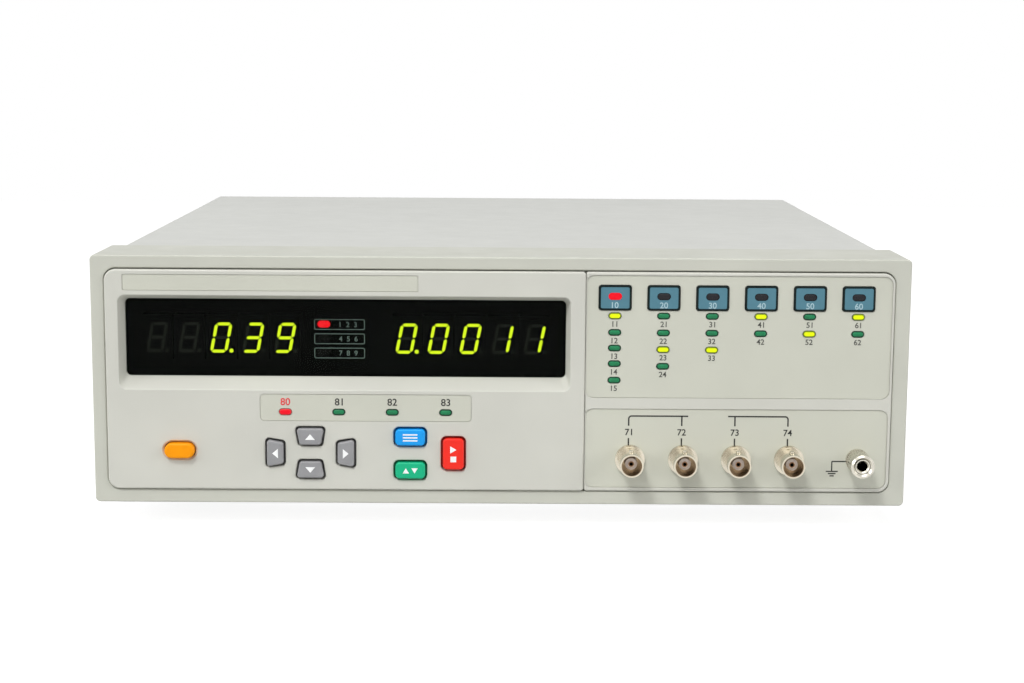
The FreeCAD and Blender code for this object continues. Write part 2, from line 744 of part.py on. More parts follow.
def moulded_key(name, corners, corner):
    """Arrow or colour key: corners(name, margin) gives the outline of its hole."""
    places = {**ARROW_KEYS, **COLOUR_KEYS}
    x, z = places[name][:2]
    cap = prism(corners(name, -KEY_GAP), KEY_FRONT, KEY_FLANGE_FRONT, corner - KEY_GAP / 2)
    cap = softened(cap, KEY_FRONT, KEY_EDGE)
    flange = prism(corners(name, KEY_FLANGE_LIP), KEY_FLANGE_FRONT, KEY_FLANGE_BACK, corner)
    return key(cap, flange, x, z)


def flat_key(index):
    """Flat key under the right panel's film, with a shallow window for its lamp."""
    x = COLUMN_X[index]
    area = grown(flat_area(index), -FLAT_KEY_GAP)
    cap = slab(area, FLAT_KEY_FRONT, KEY_FLANGE_FRONT, FLAT_KEY_CORNER - FLAT_KEY_GAP)
    cap = softened(cap, FLAT_KEY_FRONT, FLAT_KEY_EDGE)
    pocket = centred(x, FLAT_KEY_Z + FLAT_LAMP_RISE, FLAT_LAMP_WIDTH, FLAT_LAMP_HEIGHT)
    pocket_back = FLAT_KEY_FRONT + FLAT_LAMP_DEPTH
    cap = cap.cut(slab(pocket, FLAT_KEY_FRONT, pocket_back, FLAT_LAMP_HEIGHT / 2))
    lip = grown(flat_area(index), FLAT_KEY_LIP)
    flange = slab(lip, KEY_FLANGE_FRONT, KEY_FLANGE_BACK, FLAT_KEY_CORNER)
    return key(cap, flange, x, FLAT_KEY_Z)


def key_switches():
    places = [spec[:2] for spec in (*ARROW_KEYS.values(), *COLOUR_KEYS.values())]
    places += [(x, FLAT_KEY_Z) for x in COLUMN_X]
    switches = []
    for x, z in places:
        body = slab(centred(x, z, SWITCH_SIZE, SWITCH_SIZE), SWITCH_FRONT, KEY_BOARD_FRONT)
        switches.append(body.cut(rod(x, z, SWITCH_FRONT, SWITCH_BORE_BACK, SWITCH_BORE)))
    return Part.makeCompound(switches)


def power_area(margin):
    return grown(centred(POWER_X, POWER_Z, POWER_WIDTH, POWER_HEIGHT), margin)


def power_button():
    cap = slab(power_area(0), POWER_FRONT, POWER_CAP_BACK, POWER_HEIGHT / 2)
    cap = softened(cap, POWER_FRONT, POWER_EDGE)
    stem_area = centred(POWER_X, POWER_Z, POWER_STEM, POWER_STEM)
    return cap.fuse(slab(stem_area, POWER_CAP_BACK, POWER_STEM_BACK))


def power_switch():
    area = centred(POWER_X, POWER_Z, SWITCH_BODY_SIZE, SWITCH_BODY_SIZE)
    bore = centred(POWER_X, POWER_Z, SWITCH_BODY_BORE, SWITCH_BODY_BORE)
    body = slab(area, SWITCH_BODY_FRONT, SWITCH_BODY_BACK)
    return body.cut(slab(bore, SWITCH_BODY_FRONT, SWITCH_BODY_BORE_BACK))


def switch_shelf():
    """Folded shelf of the tray that carries the power switch."""
    x0, x1, shelf_top, _ = centred(POWER_X, POWER_Z, SWITCH_BODY_SIZE, SWITCH_BODY_SIZE)
    shelf_bottom = shelf_top - SHEET
    riser_front = SWITCH_BODY_BACK - SHEET
    shelf = block(x0, x1, SWITCH_BODY_FRONT, SWITCH_BODY_BACK, shelf_bottom, shelf_top)
    riser = block(x0, x1, riser_front, SWITCH_BODY_BACK, TRAY_FLOOR, shelf_bottom)
    return shelf.fuse(riser)


# Lamps

def lamp_area(x, z, margin):
    return grown(centred(x, z, LAMP_WIDTH, LAMP_HEIGHT), margin)


def lamp(x, z, front):
    """Light guide from a panel's face back to the board behind it."""
    body = slab(lamp_area(x, z, 0), front, KEY_BOARD_FRONT, LAMP_HEIGHT / 2)
    return softened(body, front, LAMP_EDGE)


def lamp_hole(x, z, y0, y1):
    return slab(lamp_area(x, z, LAMP_GAP), y0, y1, LAMP_HEIGHT / 2 + LAMP_GAP)


def column_places():
    return [(x, z) for x, rows in zip(COLUMN_X, COLUMN_Z) for z in rows]


def sort_lights():
    front = DISPLAY_FRONT + STRIP_POCKET_DEPTH - FILM - LAMP_PROUD
    return Part.makeCompound([lamp(x, SORT_Z, front) for x in SORT_X])


def indicator_lights():
    return Part.makeCompound([lamp(x, z, FILM_FRONT - LAMP_PROUD) for x, z in column_places()])


# Left panel and display

def board_posts(places, back, radius):
    return [rod(x, z, LEDGE_FRONT, back, radius) for x, z in places]


def post_holes(places, back):
    depth = M3_INNER_LENGTH - BOARD + FILM_GAP
    return [rod(x, z, back - depth, back, M3_HOLE) for x, z in places]


def display_recess():
    mouth = outline(corners_of(RECESS_MOUTH), DISPLAY_FRONT, RECESS_CORNER)
    sight = outline(corners_of(WINDOW_SIGHT), WINDOW_FRONT, SIGHT_CORNER)
    return Part.makeLoft([mouth, sight], True, True)


def panel_plate(area, front, seam_side, seam_corner):
    """Plate of a panel, with other corners on the side where the two panels meet."""
    plate = slab(area, front, LEDGE_FRONT, PANEL_CORNER)
    return plate.fuse(slab(seam_side, front, LEDGE_FRONT, seam_corner)).removeSplitter()


def display_panel():
    _, x1, z0, z1 = DISPLAY_PLATE
    seam_side = (x1 - 2 * PANEL_CORNER, x1, z0, z1)
    plate = panel_plate(DISPLAY_PLATE, DISPLAY_FRONT, seam_side, DISPLAY_SEAM_CORNER)
    plate = softened(plate, DISPLAY_FRONT, DISPLAY_EDGE)
    tub = slab(TUB, LEDGE_FRONT, WINDOW_BACK, WINDOW_CORNER)
    posts = board_posts(DISPLAY_POSTS, DISPLAY_BOARD_FRONT, DISPLAY_POST_RADIUS)
    posts += board_posts(LEFT_POSTS, KEY_BOARD_FRONT, KEY_POST_RADIUS)
    panel = plate.fuse([tub] + posts).removeSplitter()
    panel = panel.cut([display_recess(), slab(WINDOW_SEAT, WINDOW_FRONT, WINDOW_BACK, SEAT_CORNER)])
    holes = [
        slab(power_area(POWER_GAP), DISPLAY_FRONT, LEDGE_FRONT, POWER_HEIGHT / 2 + POWER_GAP)
    ]
    for name in ARROW_KEYS:
        holes.append(prism(arrow_corners(name, 0), DISPLAY_FRONT, LEDGE_FRONT, ARROW_CORNER))
    for name in COLOUR_KEYS:
        holes.append(prism(colour_corners(name, 0), DISPLAY_FRONT, LEDGE_FRONT, COLOUR_CORNER))
    panel = panel.cut(holes)
    panel = softened(panel, DISPLAY_FRONT, HOLE_EDGE, grown(RECESS_MOUTH, TOUCH))
    key_field = (LEFT_BOARD_AREA[0], LEFT_BOARD_AREA[1], LEFT_WINDOW[2], SORT_POCKET[2])
    panel = softened(panel, DISPLAY_FRONT, HOLE_EDGE, key_field)
    panel = bevelled(panel, DISPLAY_FRONT, POWER_DISH, power_area(POWER_GAP + TOUCH))
    pocket_floor = DISPLAY_FRONT + STRIP_POCKET_DEPTH
    left, _ = panel_screw_places()
    details = [
        slab(TITLE_POCKET, DISPLAY_FRONT, pocket_floor, TITLE_CORNER),
        slab(SORT_POCKET, DISPLAY_FRONT, pocket_floor, SORT_CORNER),
    ]
    details += [lamp_hole(x, SORT_Z, DISPLAY_FRONT, LEDGE_FRONT) for x in SORT_X]
    details += [rod(x, z, PANEL_SCREW_END, LEDGE_FRONT, M3_HOLE) for x, z in left]
    details += post_holes(DISPLAY_POSTS, DISPLAY_BOARD_FRONT)
    details += post_holes(LEFT_POSTS, KEY_BOARD_FRONT)
    return panel.cut(details)


def strip(pocket, corner):
    floor = DISPLAY_FRONT + STRIP_POCKET_DEPTH
    return slab(grown(pocket, -FILM_GAP), floor - FILM, floor, corner - FILM_GAP)


def title_strip():
    return strip(TITLE_POCKET, TITLE_CORNER)


def sort_strip():
    band = strip(SORT_POCKET, SORT_CORNER)
    return band.cut([lamp_hole(x, SORT_Z, DISPLAY_FRONT, LEDGE_FRONT) for x in SORT_X])


def display_window():
    """Dark window: a plate in the tub's seat, with a bevelled plateau that fills the sight."""
    plate = slab(grown(WINDOW_SEAT, -WINDOW_GAP), WINDOW_FRONT, WINDOW_BACK, SEAT_CORNER - WINDOW_GAP)
    plateau_area = grown(WINDOW_SIGHT, -WINDOW_GAP)
    plateau = slab(plateau_area, PLATEAU_FRONT, WINDOW_FRONT, SIGHT_CORNER - WINDOW_GAP)
    plateau = bevelled(plateau, PLATEAU_FRONT, PLATEAU_BEVEL, WINDOW_SIGHT)
    return plate.fuse(plateau).removeSplitter()


def digit_places():
    """Middle x of every digit."""
    middle = (DIGITS_IN_GROUP - 1) / 2
    return [x + DIGIT_PITCH * (i - middle) for x in DIGIT_GROUPS for i in range(DIGITS_IN_GROUP)]


def digit_modules():
    areas = [centred(x, DIGIT_Z, DIGIT_WIDTH, DIGIT_HEIGHT) for x in digit_places()]
    return Part.makeCompound([slab(area, DIGIT_FRONT, DISPLAY_BOARD_FRONT) for area in areas])


def unit_lights():
    areas = [lamp_area(UNIT_X, z, 0) for z in UNIT_Z]
    lights = [slab(area, DIGIT_FRONT, DISPLAY_BOARD_FRONT, LAMP_HEIGHT / 2) for area in areas]
    return Part.makeCompound(lights)


def board(area, front, posts):
    plate = slab(area, front, front + BOARD)
    return plate.cut([rod(x, z, front, front + BOARD, M3_CLEAR) for x, z in posts])


def display_board():
    return board(DISPLAY_BOARD_AREA, DISPLAY_BOARD_FRONT, DISPLAY_POSTS)


def left_key_board():
    return board(LEFT_BOARD_AREA, KEY_BOARD_FRONT, LEFT_POSTS)


def right_key_board():
    return board(RIGHT_BOARD_AREA, KEY_BOARD_FRONT, RIGHT_POSTS)


# Right panel and terminals

def terminal_holes(y0, y1):
    holes = [rod(x, JACK_Z, y0, y1, JACK_HOLE) for x in JACK_X]
    return holes + [rod(POST_X, POST_Z, y0, y1, POST_HOLE)]


def key_field_holes(y0, y1):
    holes = [slab(flat_area(i), y0, y1, FLAT_KEY_CORNER) for i in range(len(FLAT_KEY_NAMES))]
    return holes + [lamp_hole(x, z, y0, y1) for x, z in column_places()]


def control_panel():
    x0, _, z0, z1 = CONTROL_PLATE
    seam_side = (x0, x0 + 2 * PANEL_CORNER, z0, z1)
    plate = panel_plate(CONTROL_PLATE, CONTROL_FRONT, seam_side, CONTROL_SEAM_CORNER)
    plate = softened(plate, CONTROL_FRONT, CONTROL_EDGE)
    panel = plate.fuse(board_posts(RIGHT_POSTS, KEY_BOARD_FRONT, KEY_POST_RADIUS)).removeSplitter()
    pocket_floor = CONTROL_FRONT + POCKET_DEPTH
    details = [
        slab(KEY_POCKET, CONTROL_FRONT, pocket_floor, POCKET_CORNER),
        slab(TERMINAL_POCKET, CONTROL_FRONT, pocket_floor, POCKET_CORNER),
    ]
    details += key_field_holes(CONTROL_FRONT, LEDGE_FRONT)
    details += terminal_holes(CONTROL_FRONT, LEDGE_FRONT)
    _, right = panel_screw_places()
    details += [rod(x, z, PANEL_SCREW_END, LEDGE_FRONT, M3_HOLE) for x, z in right]
    details += post_holes(RIGHT_POSTS, KEY_BOARD_FRONT)
    return panel.cut(details)


def film(pocket, holes):
    _, x1, z0, z1 = grown(pocket, -FILM_GAP)
    face = slab((FILM_LEFT, x1, z0, z1), FILM_FRONT, FILM_FRONT + FILM, POCKET_CORNER - FILM_GAP)
    return face.cut(holes)


def key_film():
    return film(KEY_POCKET, key_field_holes(FILM_FRONT, LEDGE_FRONT))


def terminal_film():
    return film(TERMINAL_POCKET, terminal_holes(FILM_FRONT, LEDGE_FRONT))


def jack_shell(x):
    """Turned jack body with its flange on the film, a rim in front and two bayonet lugs."""
    flange_front = FILM_FRONT - JACK_FLANGE
    collar_front = flange_front - JACK_COLLAR
    bore = INSULATOR_RADIUS + BORE_GAP
    shell = turned(x, JACK_Z, [
        (bore, JACK_THREAD_BACK),
        (JACK_THREAD_RADIUS, JACK_THREAD_BACK),
        (JACK_THREAD_RADIUS, FILM_FRONT),
        (JACK_FLANGE_RADIUS, FILM_FRONT),
        (JACK_FLANGE_RADIUS, flange_front),
        (JACK_COLLAR_RADIUS, flange_front),
        (JACK_COLLAR_RADIUS, collar_front),
        (JACK_BARREL_RADIUS, collar_front),
        (JACK_BARREL_RADIUS, JACK_FRONT + JACK_RIM),
        (JACK_RIM_RADIUS, JACK_FRONT + JACK_RIM),
        (JACK_RIM_RADIUS, JACK_FRONT),
        (JACK_BORE_RADIUS, JACK_FRONT),
        (JACK_BORE_RADIUS, JACK_BORE_BACK),
        (bore, JACK_BORE_BACK),
    ])
    middle = (JACK_BORE_RADIUS + JACK_BARREL_RADIUS) / 2
    lug_length = JACK_LUG_REACH - middle
    lugs = []
    for side in (-1, 1):
        start = vector(x, JACK_LUG_Y, JACK_Z + side * middle)
        lugs.append(Part.makeCylinder(JACK_LUG_RADIUS, lug_length, start, vector(0, 0, side)))
    return shell.fuse(lugs)


def bnc_shells():
    return Part.makeCompound([jack_shell(x) for x in JACK_X])


def bnc_insulators():
    inner = CONTACT_RADIUS + BORE_GAP
    insulators = []
    for x in JACK_X:
        core = rod(x, JACK_Z, INSULATOR_FRONT, INSULATOR_BACK, INSULATOR_RADIUS)
        insulators.append(core.cut(rod(x, JACK_Z, INSULATOR_FRONT, INSULATOR_BACK, inner)))
    return Part.makeCompound(insulators)


def bnc_contacts():
    contacts = []
    for x in JACK_X:
        pin = rod(x, JACK_Z, CONTACT_FRONT, CONTACT_BACK, CONTACT_RADIUS)
        contacts.append(pin.cut(rod(x, JACK_Z, CONTACT_FRONT, 0, CONTACT_BORE)))
    return Part.makeCompound(contacts)


def terminal_nuts():
    nuts = []
    for x in JACK_X:
        nut = prism(hexagon(x, JACK_Z, JACK_NUT), LEDGE_FRONT, JACK_NUT_BACK)
        bore = JACK_THREAD_RADIUS + BORE_GAP
        nuts.append(nut.cut(rod(x, JACK_Z, LEDGE_FRONT, JACK_NUT_BACK, bore)))
    nut = prism(hexagon(POST_X, POST_Z, POST_NUT), LEDGE_FRONT, POST_NUT_BACK)
    nuts.append(nut.cut(rod(POST_X, POST_Z, LEDGE_FRONT, POST_NUT_BACK, POST_RADIUS + BORE_GAP)))
    return Part.makeCompound(nuts)


def ground_stud():
    """Ground post: a threaded stud with a collar on the film and a 4 mm socket in its front end."""
    sunk = POST_SOCKET_RADIUS + POST_SINK
    collar_front = FILM_FRONT - POST_COLLAR
    return turned(POST_X, POST_Z, [
        (0, POST_THREAD_BACK),
        (POST_RADIUS, POST_THREAD_BACK),
        (POST_RADIUS, FILM_FRONT),
        (POST_COLLAR_RADIUS, FILM_FRONT),
        (POST_COLLAR_RADIUS, collar_front),
        (POST_RADIUS, collar_front),
        (POST_RADIUS, POST_FRONT),
        (sunk, POST_FRONT),
        (POST_SOCKET_RADIUS, POST_FRONT + POST_SINK),
        (POST_SOCKET_RADIUS, POST_SOCKET_BACK),
        (0, POST_SOCKET_BACK),
    ])


def washer_back():
    return FILM_FRONT - POST_COLLAR - KNOB_GAP


def ground_washer():
    back = washer_back()
    disc = rod(POST_X, POST_Z, back - WASHER, back, WASHER_RADIUS)
    return disc.cut(rod(POST_X, POST_Z, back - WASHER, back, KNOB_BORE))


def ground_knob():
    """Thumb nut on the ground stud, knurled over its rear half."""
    back = washer_back() - WASHER - KNOB_GAP
    knob = turned(POST_X, POST_Z, [
        (KNOB_BORE, back),
        (KNOB_RADIUS, back),
        (KNOB_RADIUS, KNOB_FRONT + KNOB_BEVEL),
        (KNOB_RADIUS - KNOB_BEVEL, KNOB_FRONT),
        (KNOB_BORE + KNOB_BEVEL, KNOB_FRONT),
        (KNOB_BORE, KNOB_FRONT + KNOB_BEVEL),
    ])
    grooves = []
    for i in range(KNURL_COUNT):
        angle = 2 * math.pi * i / KNURL_COUNT
        x = POST_X + KNOB_RADIUS * math.cos(angle)
        z = POST_Z + KNOB_RADIUS * math.sin(angle)
        grooves.append(rod(x, z, back - KNURL_LENGTH, back, KNURL_RADIUS))
    return knob.cut(grooves)


# Feet

def along_x(x0, x1, y, z, radius):
    """Cylinder along x."""
    return Part.makeCylinder(radius, x1 - x0, vector(x0, y, z), vector(1, 0, 0))


def foot_screw_hole(x, y):
    recess = pillar(x, y, -FOOT_HEIGHT, FOOT_RECESS_TOP, FOOT_RECESS_RADIUS)
    return recess.fuse(pillar(x, y, FOOT_RECESS_TOP, CASE_BOTTOM, M4_CLEAR))


def front_foot(x):
    """Foot block with a pocket underneath for its fold-out leg and a peg that locates it in the tray."""
    half = FRONT_FOOT_HALF
    foot = block(x - half, x + half, FRONT_FOOT_FRONT, FRONT_FOOT_BACK, -FOOT_HEIGHT, CASE_BOTTOM)
    upright = [edge for edge in foot.Edges if edge.BoundBox.ZLength > FOOT_HEIGHT]
    foot = foot.makeFillet(FRONT_FOOT_CORNER, upright)
    foot = foot.fuse(pillar(x, PEG_Y, CASE_BOTTOM, TRAY_FLOOR, PEG_RADIUS))
    pocket = block(
        x - LEG_POCKET_HALF, x + LEG_POCKET_HALF,
        LEG_POCKET_FRONT, LEG_POCKET_BACK,
        -FOOT_HEIGHT, LEG_POCKET_TOP,
    )
    reach = LEG_PIN_HOLE_REACH
    pin_hole = along_x(x - reach, x + reach, LEG_PIVOT_Y, LEG_PIVOT_Z, LEG_PIN_HOLE)
    return foot.cut([pocket, pin_hole, foot_screw_hole(x, FRONT_FOOT_SCREW_Y)])


def front_feet():
    return Part.makeCompound([front_foot(side * FOOT_X) for side in (-1, 1)])


def rear_feet():
    height = FOOT_HEIGHT + CASE_BOTTOM
    feet = []
    for side in (-1, 1):
        base = vector(side * FOOT_X, REAR_FOOT_Y, -FOOT_HEIGHT)
        foot = Part.makeCone(REAR_FOOT_RADIUS, REAR_FOOT_TOP_RADIUS, height, base)
        feet.append(foot.cut(foot_screw_hole(side * FOOT_X, REAR_FOOT_Y)))
    return Part.makeCompound(feet)


def tilt_leg(side):
    """Fold-out leg, drawn folded up in its foot, with a round heel and two pivot pins."""
    x = side * FOOT_X
    thick = LEG_HALF_THICKNESS
    plate = block(
        x - LEG_HALF, x + LEG_HALF, LEG_PIVOT_Y, LEG_TIP_Y, LEG_PIVOT_Z - thick, LEG_PIVOT_Z + thick
    )
    heel = along_x(x - LEG_HALF, x + LEG_HALF, LEG_PIVOT_Y, LEG_PIVOT_Z, thick)
    pin = along_x(x - LEG_PIN_REACH, x + LEG_PIN_REACH, LEG_PIVOT_Y, LEG_PIVOT_Z, LEG_PIN_RADIUS)
    leg = plate.fuse([heel, pin]).removeSplitter()
    floor = LEG_PIVOT_Z - thick
    grips = []
    for y in LEG_GRIP_Y:
        half = LEG_GRIP_WIDTH / 2
        grips.append(block(x - LEG_HALF, x + LEG_HALF, y - half, y + half, floor, floor + LEG_GRIP_DEPTH))
    return leg.cut(grips)


# Mains inlet

def pin_areas(margin):
    return [grown(centred(INLET_X + dx, SOCKET_Z + dz, *PIN_SIZE), margin) for dx, dz in PIN_PLACES]


def socket_corners():
    """Outline of the inlet's socket, with two bevelled top corners."""
    half_width, half_height = SOCKET_HALF
    shoulder = half_width - SOCKET_BEVEL
    cheek = half_height - SOCKET_BEVEL
    shape = [
        (-half_width, -half_height),
        (half_width, -half_height),
        (half_width, cheek),
        (shoulder, half_height),
        (-shoulder, half_height),
        (-half_width, cheek),
    ]
    return [(INLET_X + dx, SOCKET_Z + dz) for dx, dz in shape]


def power_inlet():
    flange = slab(centred(INLET_X, INLET_Z, *INLET_FLANGE), CASE_DEPTH, INLET_FLANGE_BACK, INLET_CORNER)
    body = slab(centred(INLET_X, INLET_Z, *INLET_BODY), INLET_BODY_FRONT, CASE_DEPTH)
    inlet = flange.fuse(body).removeSplitter()
    hollows = [
        prism(socket_corners(), SOCKET_FLOOR, INLET_FLANGE_BACK, SOCKET_CORNER),
        slab(centred(INLET_X, DRAWER_Z, *DRAWER_SLOT), DRAWER_SLOT_FRONT, INLET_FLANGE_BACK),
    ]
    hollows += [slab(area, INLET_BODY_FRONT, SOCKET_FLOOR) for area in pin_areas(BORE_GAP)]
    return inlet.cut(hollows)


def inlet_pins():
    return Part.makeCompound([slab(area, PIN_FRONT, PIN_BACK) for area in pin_areas(0)])


def fuse_drawer():
    lip_front = INLET_FLANGE_BACK + DRAWER_LIP_GAP
    lip_back = lip_front + DRAWER_LIP_THICKNESS
    slide = slab(centred(INLET_X, DRAWER_Z, *DRAWER_SIZE), DRAWER_FRONT, lip_front, DRAWER_CORNER)
    lip = slab(centred(INLET_X, DRAWER_Z, *DRAWER_LIP), lip_front, lip_back, DRAWER_CORNER)
    width, depth = FUSE_BAY
    bay_top = DRAWER_Z + DRAWER_SIZE[1] / 2
    bay = block(
        INLET_X - width / 2, INLET_X + width / 2,
        FUSE_BAY_FRONT, FUSE_BAY_BACK,
        bay_top - depth, bay_top,
    )
    return slide.fuse(lip).cut(bay)


def fuse():
    bay_floor = DRAWER_Z + DRAWER_SIZE[1] / 2 - FUSE_BAY[1]
    front = (FUSE_BAY_FRONT + FUSE_BAY_BACK - FUSE_LENGTH) / 2
    return rod(INLET_X, bay_floor + FUSE_RADIUS, front, front + FUSE_LENGTH, FUSE_RADIUS)


# Inside the case

def main_board():
    x0, x1, y0, y1 = MAIN_BOARD
    plate = block(x0, x1, y0, y1, MAIN_BOARD_BOTTOM, MAIN_BOARD_TOP)
    holes = [pillar(x, y, MAIN_BOARD_BOTTOM, MAIN_BOARD_TOP, M3_CLEAR) for x, y in STANDOFF_PLACES]
    return plate.cut(holes)


def board_standoffs():
    hole_bottom = MAIN_BOARD_TOP - M3_INNER_LENGTH - FILM_GAP
    standoffs = []
    for x, y in STANDOFF_PLACES:
        standoff = pillar(x, y, TRAY_FLOOR, MAIN_BOARD_BOTTOM, STANDOFF_RADIUS)
        standoffs.append(standoff.cut(pillar(x, y, hole_bottom, MAIN_BOARD_BOTTOM, M3_HOLE)))
    return Part.makeCompound(standoffs)


def on_board(x, y, size, height):
    """Box that stands on the main board, about a middle point."""
    width, depth = size
    x0 = x - width / 2
    y0 = y - depth / 2
    return block(x0, x0 + width, y0, y0 + depth, MAIN_BOARD_TOP, MAIN_BOARD_TOP + height)


def heat_sink():
    x0, x1, y0, y1 = SINK_PLATE
    top = MAIN_BOARD_TOP + SINK_HEIGHT
    sink = block(x0, x1, y0, y1, MAIN_BOARD_TOP, top)
    pitch = (x1 - x0 - FIN_THICKNESS) / (SINK_FINS - 1)
    fins = []
    for i in range(SINK_FINS):
        x = x0 + pitch * i
        fins.append(block(x, x + FIN_THICKNESS, y0 - FIN_DEPTH, y0, MAIN_BOARD_TOP, top))
    return sink.fuse(fins).removeSplitter()


def board_parts():
    """Soldered parts of the main board: chips, relays, capacitors, heat sink and terminal block."""
    parts = [on_board(x, y, CHIP_SIZE, CHIP_HEIGHT) for x, y in CHIP_PLACES]
    parts += [on_board(x, y, RELAY_SIZE, RELAY_HEIGHT) for x, y in RELAY_PLACES]
    capacitor_top = MAIN_BOARD_TOP + CAPACITOR_HEIGHT
    for x, y in CAPACITOR_PLACES:
        parts.append(pillar(x, y, MAIN_BOARD_TOP, capacitor_top, CAPACITOR_RADIUS))
    parts.append(heat_sink())
    x0, x1, y0, y1 = TERMINAL_BLOCK
    block_top = MAIN_BOARD_TOP + TERMINAL_BLOCK_HEIGHT
    parts.append(block(x0, x1, y0, y1, MAIN_BOARD_TOP, block_top))
    return Part.makeCompound(parts)


def transformer_windows(margin):
    """The two openings of the core, each beside the middle limb."""
    x0, x1, z0, z1 = CORE_AREA
    middle = (x0 + x1) / 2
    low = z0 + CORE_LIMB - margin
    high = z1 - CORE_LIMB + margin
    left = (x0 + CORE_LIMB - margin, middle - COIL_LIMB / 2 + margin, low, high)
    right = (middle + COIL_LIMB / 2 - margin, x1 - CORE_LIMB + margin, low, high)
    return left, right


def transformer_core():
    core = slab(CORE_AREA, CORE_FRONT, CORE_BACK)
    return core.cut([slab(area, CORE_FRONT, CORE_BACK) for area in transformer_windows(0)])


def transformer_coil():
    """Coil round the middle limb, filling the core's two openings."""
    left, right = transformer_windows(-COIL_GAP)
    winding = (left[0], right[1], left[2], left[3])
    coil = slab(winding, CORE_FRONT - COIL_BULGE, CORE_BACK + COIL_BULGE, FOLD)
    hollow = (left[1], right[0], left[2], left[3])
    return coil.cut(slab(hollow, CORE_FRONT - COIL_GAP, CORE_BACK + COIL_GAP))


def ribbon_cable():
    """Flat cable from the display board to the main board, with a plug at each end."""
    x0, x1 = RIBBON_X
    board_back = DISPLAY_BOARD_FRONT + BOARD
    start = board_back + PLUG_DEPTH
    end = MAIN_BOARD_TOP + PLUG_DEPTH
    half = RIBBON_THICKNESS / 2
    profile = outline(corners_of((x0, x1, RIBBON_TOP - half, RIBBON_TOP + half)), start, 0)
    middle = (x0 + x1) / 2
    path = [
        vector(middle, start, RIBBON_TOP),
        vector(middle, RIBBON_Y, RIBBON_TOP),
        vector(middle, RIBBON_Y, end),
    ]
    cable = swept(path, RIBBON_BEND, profile)
    plug_area = (x0 - PLUG_SIDE, x1 + PLUG_SIDE, RIBBON_TOP - PLUG_HALF, RIBBON_TOP + PLUG_HALF)
    upper = slab(plug_area, board_back, start)
    lower = block(
        x0 - PLUG_SIDE, x1 + PLUG_SIDE, RIBBON_Y - PLUG_HALF, RIBBON_Y + PLUG_HALF, MAIN_BOARD_TOP, end
    )
    return cable.fuse([upper, lower])


def test_leads():
    """Screened leads from the jacks to the terminal block."""
    first_turn, last_turn = LEAD_TURNS
    leads = []
    for x in JACK_X:
        path = [
            vector(x, LEAD_START, JACK_Z),
            vector(x, first_turn, JACK_Z),
            vector(x, last_turn, LEAD_END_Z),
            vector(x, TERMINAL_BLOCK[2], LEAD_END_Z),
        ]
        profile = Part.Wire([Part.makeCircle(LEAD_RADIUS, path[0], vector(0, 1, 0))])
        leads.append(swept(path, LEAD_BEND, profile))
    return Part.makeCompound(leads)


def all_pieces():
    """Every piece by its name."""
    pieces = {
        "front_bezel": front_bezel(),
        "display_panel": display_panel(),
        "control_panel": control_panel(),
        "key_film": key_film(),
        "terminal_film": terminal_film(),
        "title_strip": title_strip(),
        "sort_strip": sort_strip(),
        "display_window": display_window(),
        "top_cover": top_cover(),
        "bottom_tray": bottom_tray(),
        "rear_panel": rear_panel(),
        "upper_rails": upper_rails(),
        "case_screws": case_screws(),
        "inner_screws": inner_screws(),
        "front_feet": front_feet(),
        "rear_feet": rear_feet(),
        "foot_screws": foot_screws(),
        "left_tilt_leg": tilt_leg(-1),
        "right_tilt_leg": tilt_leg(1),
        "display_board": display_board(),
        "digit_modules": digit_modules(),
        "unit_lights": unit_lights(),
        "sort_lights": sort_lights(),
        "indicator_lights": indicator_lights(),
        "left_key_board": left_key_board(),
        "right_key_board": right_key_board(),
        "key_switches": key_switches(),
        "power_button": power_button(),
        "power_switch": power_switch(),
        "bnc_shells": bnc_shells(),
        "bnc_insulators": bnc_insulators(),
        "bnc_contacts": bnc_contacts(),
        "terminal_nuts": terminal_nuts(),
        "ground_stud": ground_stud(),
        "ground_washer": ground_washer(),
        "ground_knob": ground_knob(),
        "power_inlet": power_inlet(),
        "inlet_pins": inlet_pins(),
        "fuse_drawer": fuse_drawer(),
        "fuse": fuse(),
        "main_board": main_board(),
        "board_parts": board_parts(),
        "board_standoffs": board_standoffs(),
        "transformer_core": transformer_core(),
        "transformer_coil": transformer_coil(),
        "ribbon_cable": ribbon_cable(),
        "test_leads": test_leads(),
    }
    for name in ARROW_KEYS:
        pieces[name] = moulded_key(name, arrow_corners, ARROW_CORNER)
    for name in COLOUR_KEYS:
        pieces[name] = moulded_key(name, colour_corners, COLOUR_CORNER)
    for index, name in enumerate(FLAT_KEY_NAMES):
        pieces[name] = flat_key(index)
    return pieces


def main():
    os.makedirs("parts", exist_ok=True)
    for name, shape in all_pieces().items():
        shape.translate(FRAME_SHIFT)
        shape.exportStep(f"parts/{name}.step")


if __name__ == "__main__":
    main()
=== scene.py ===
"""Looks of the bench component tester: finishes for its solids, and its lamps, digits and printed marks.

Flat pieces are drawn on the front of the tester in millimetres: x runs right from the middle of the
bezel, z runs up from the bezel's bottom edge, and out is the distance in front of the panel plane.
An area is a tuple (x0, x1, z0, z1).
"""
import bmesh
import bpy
import math
from mathutils import Matrix, Vector


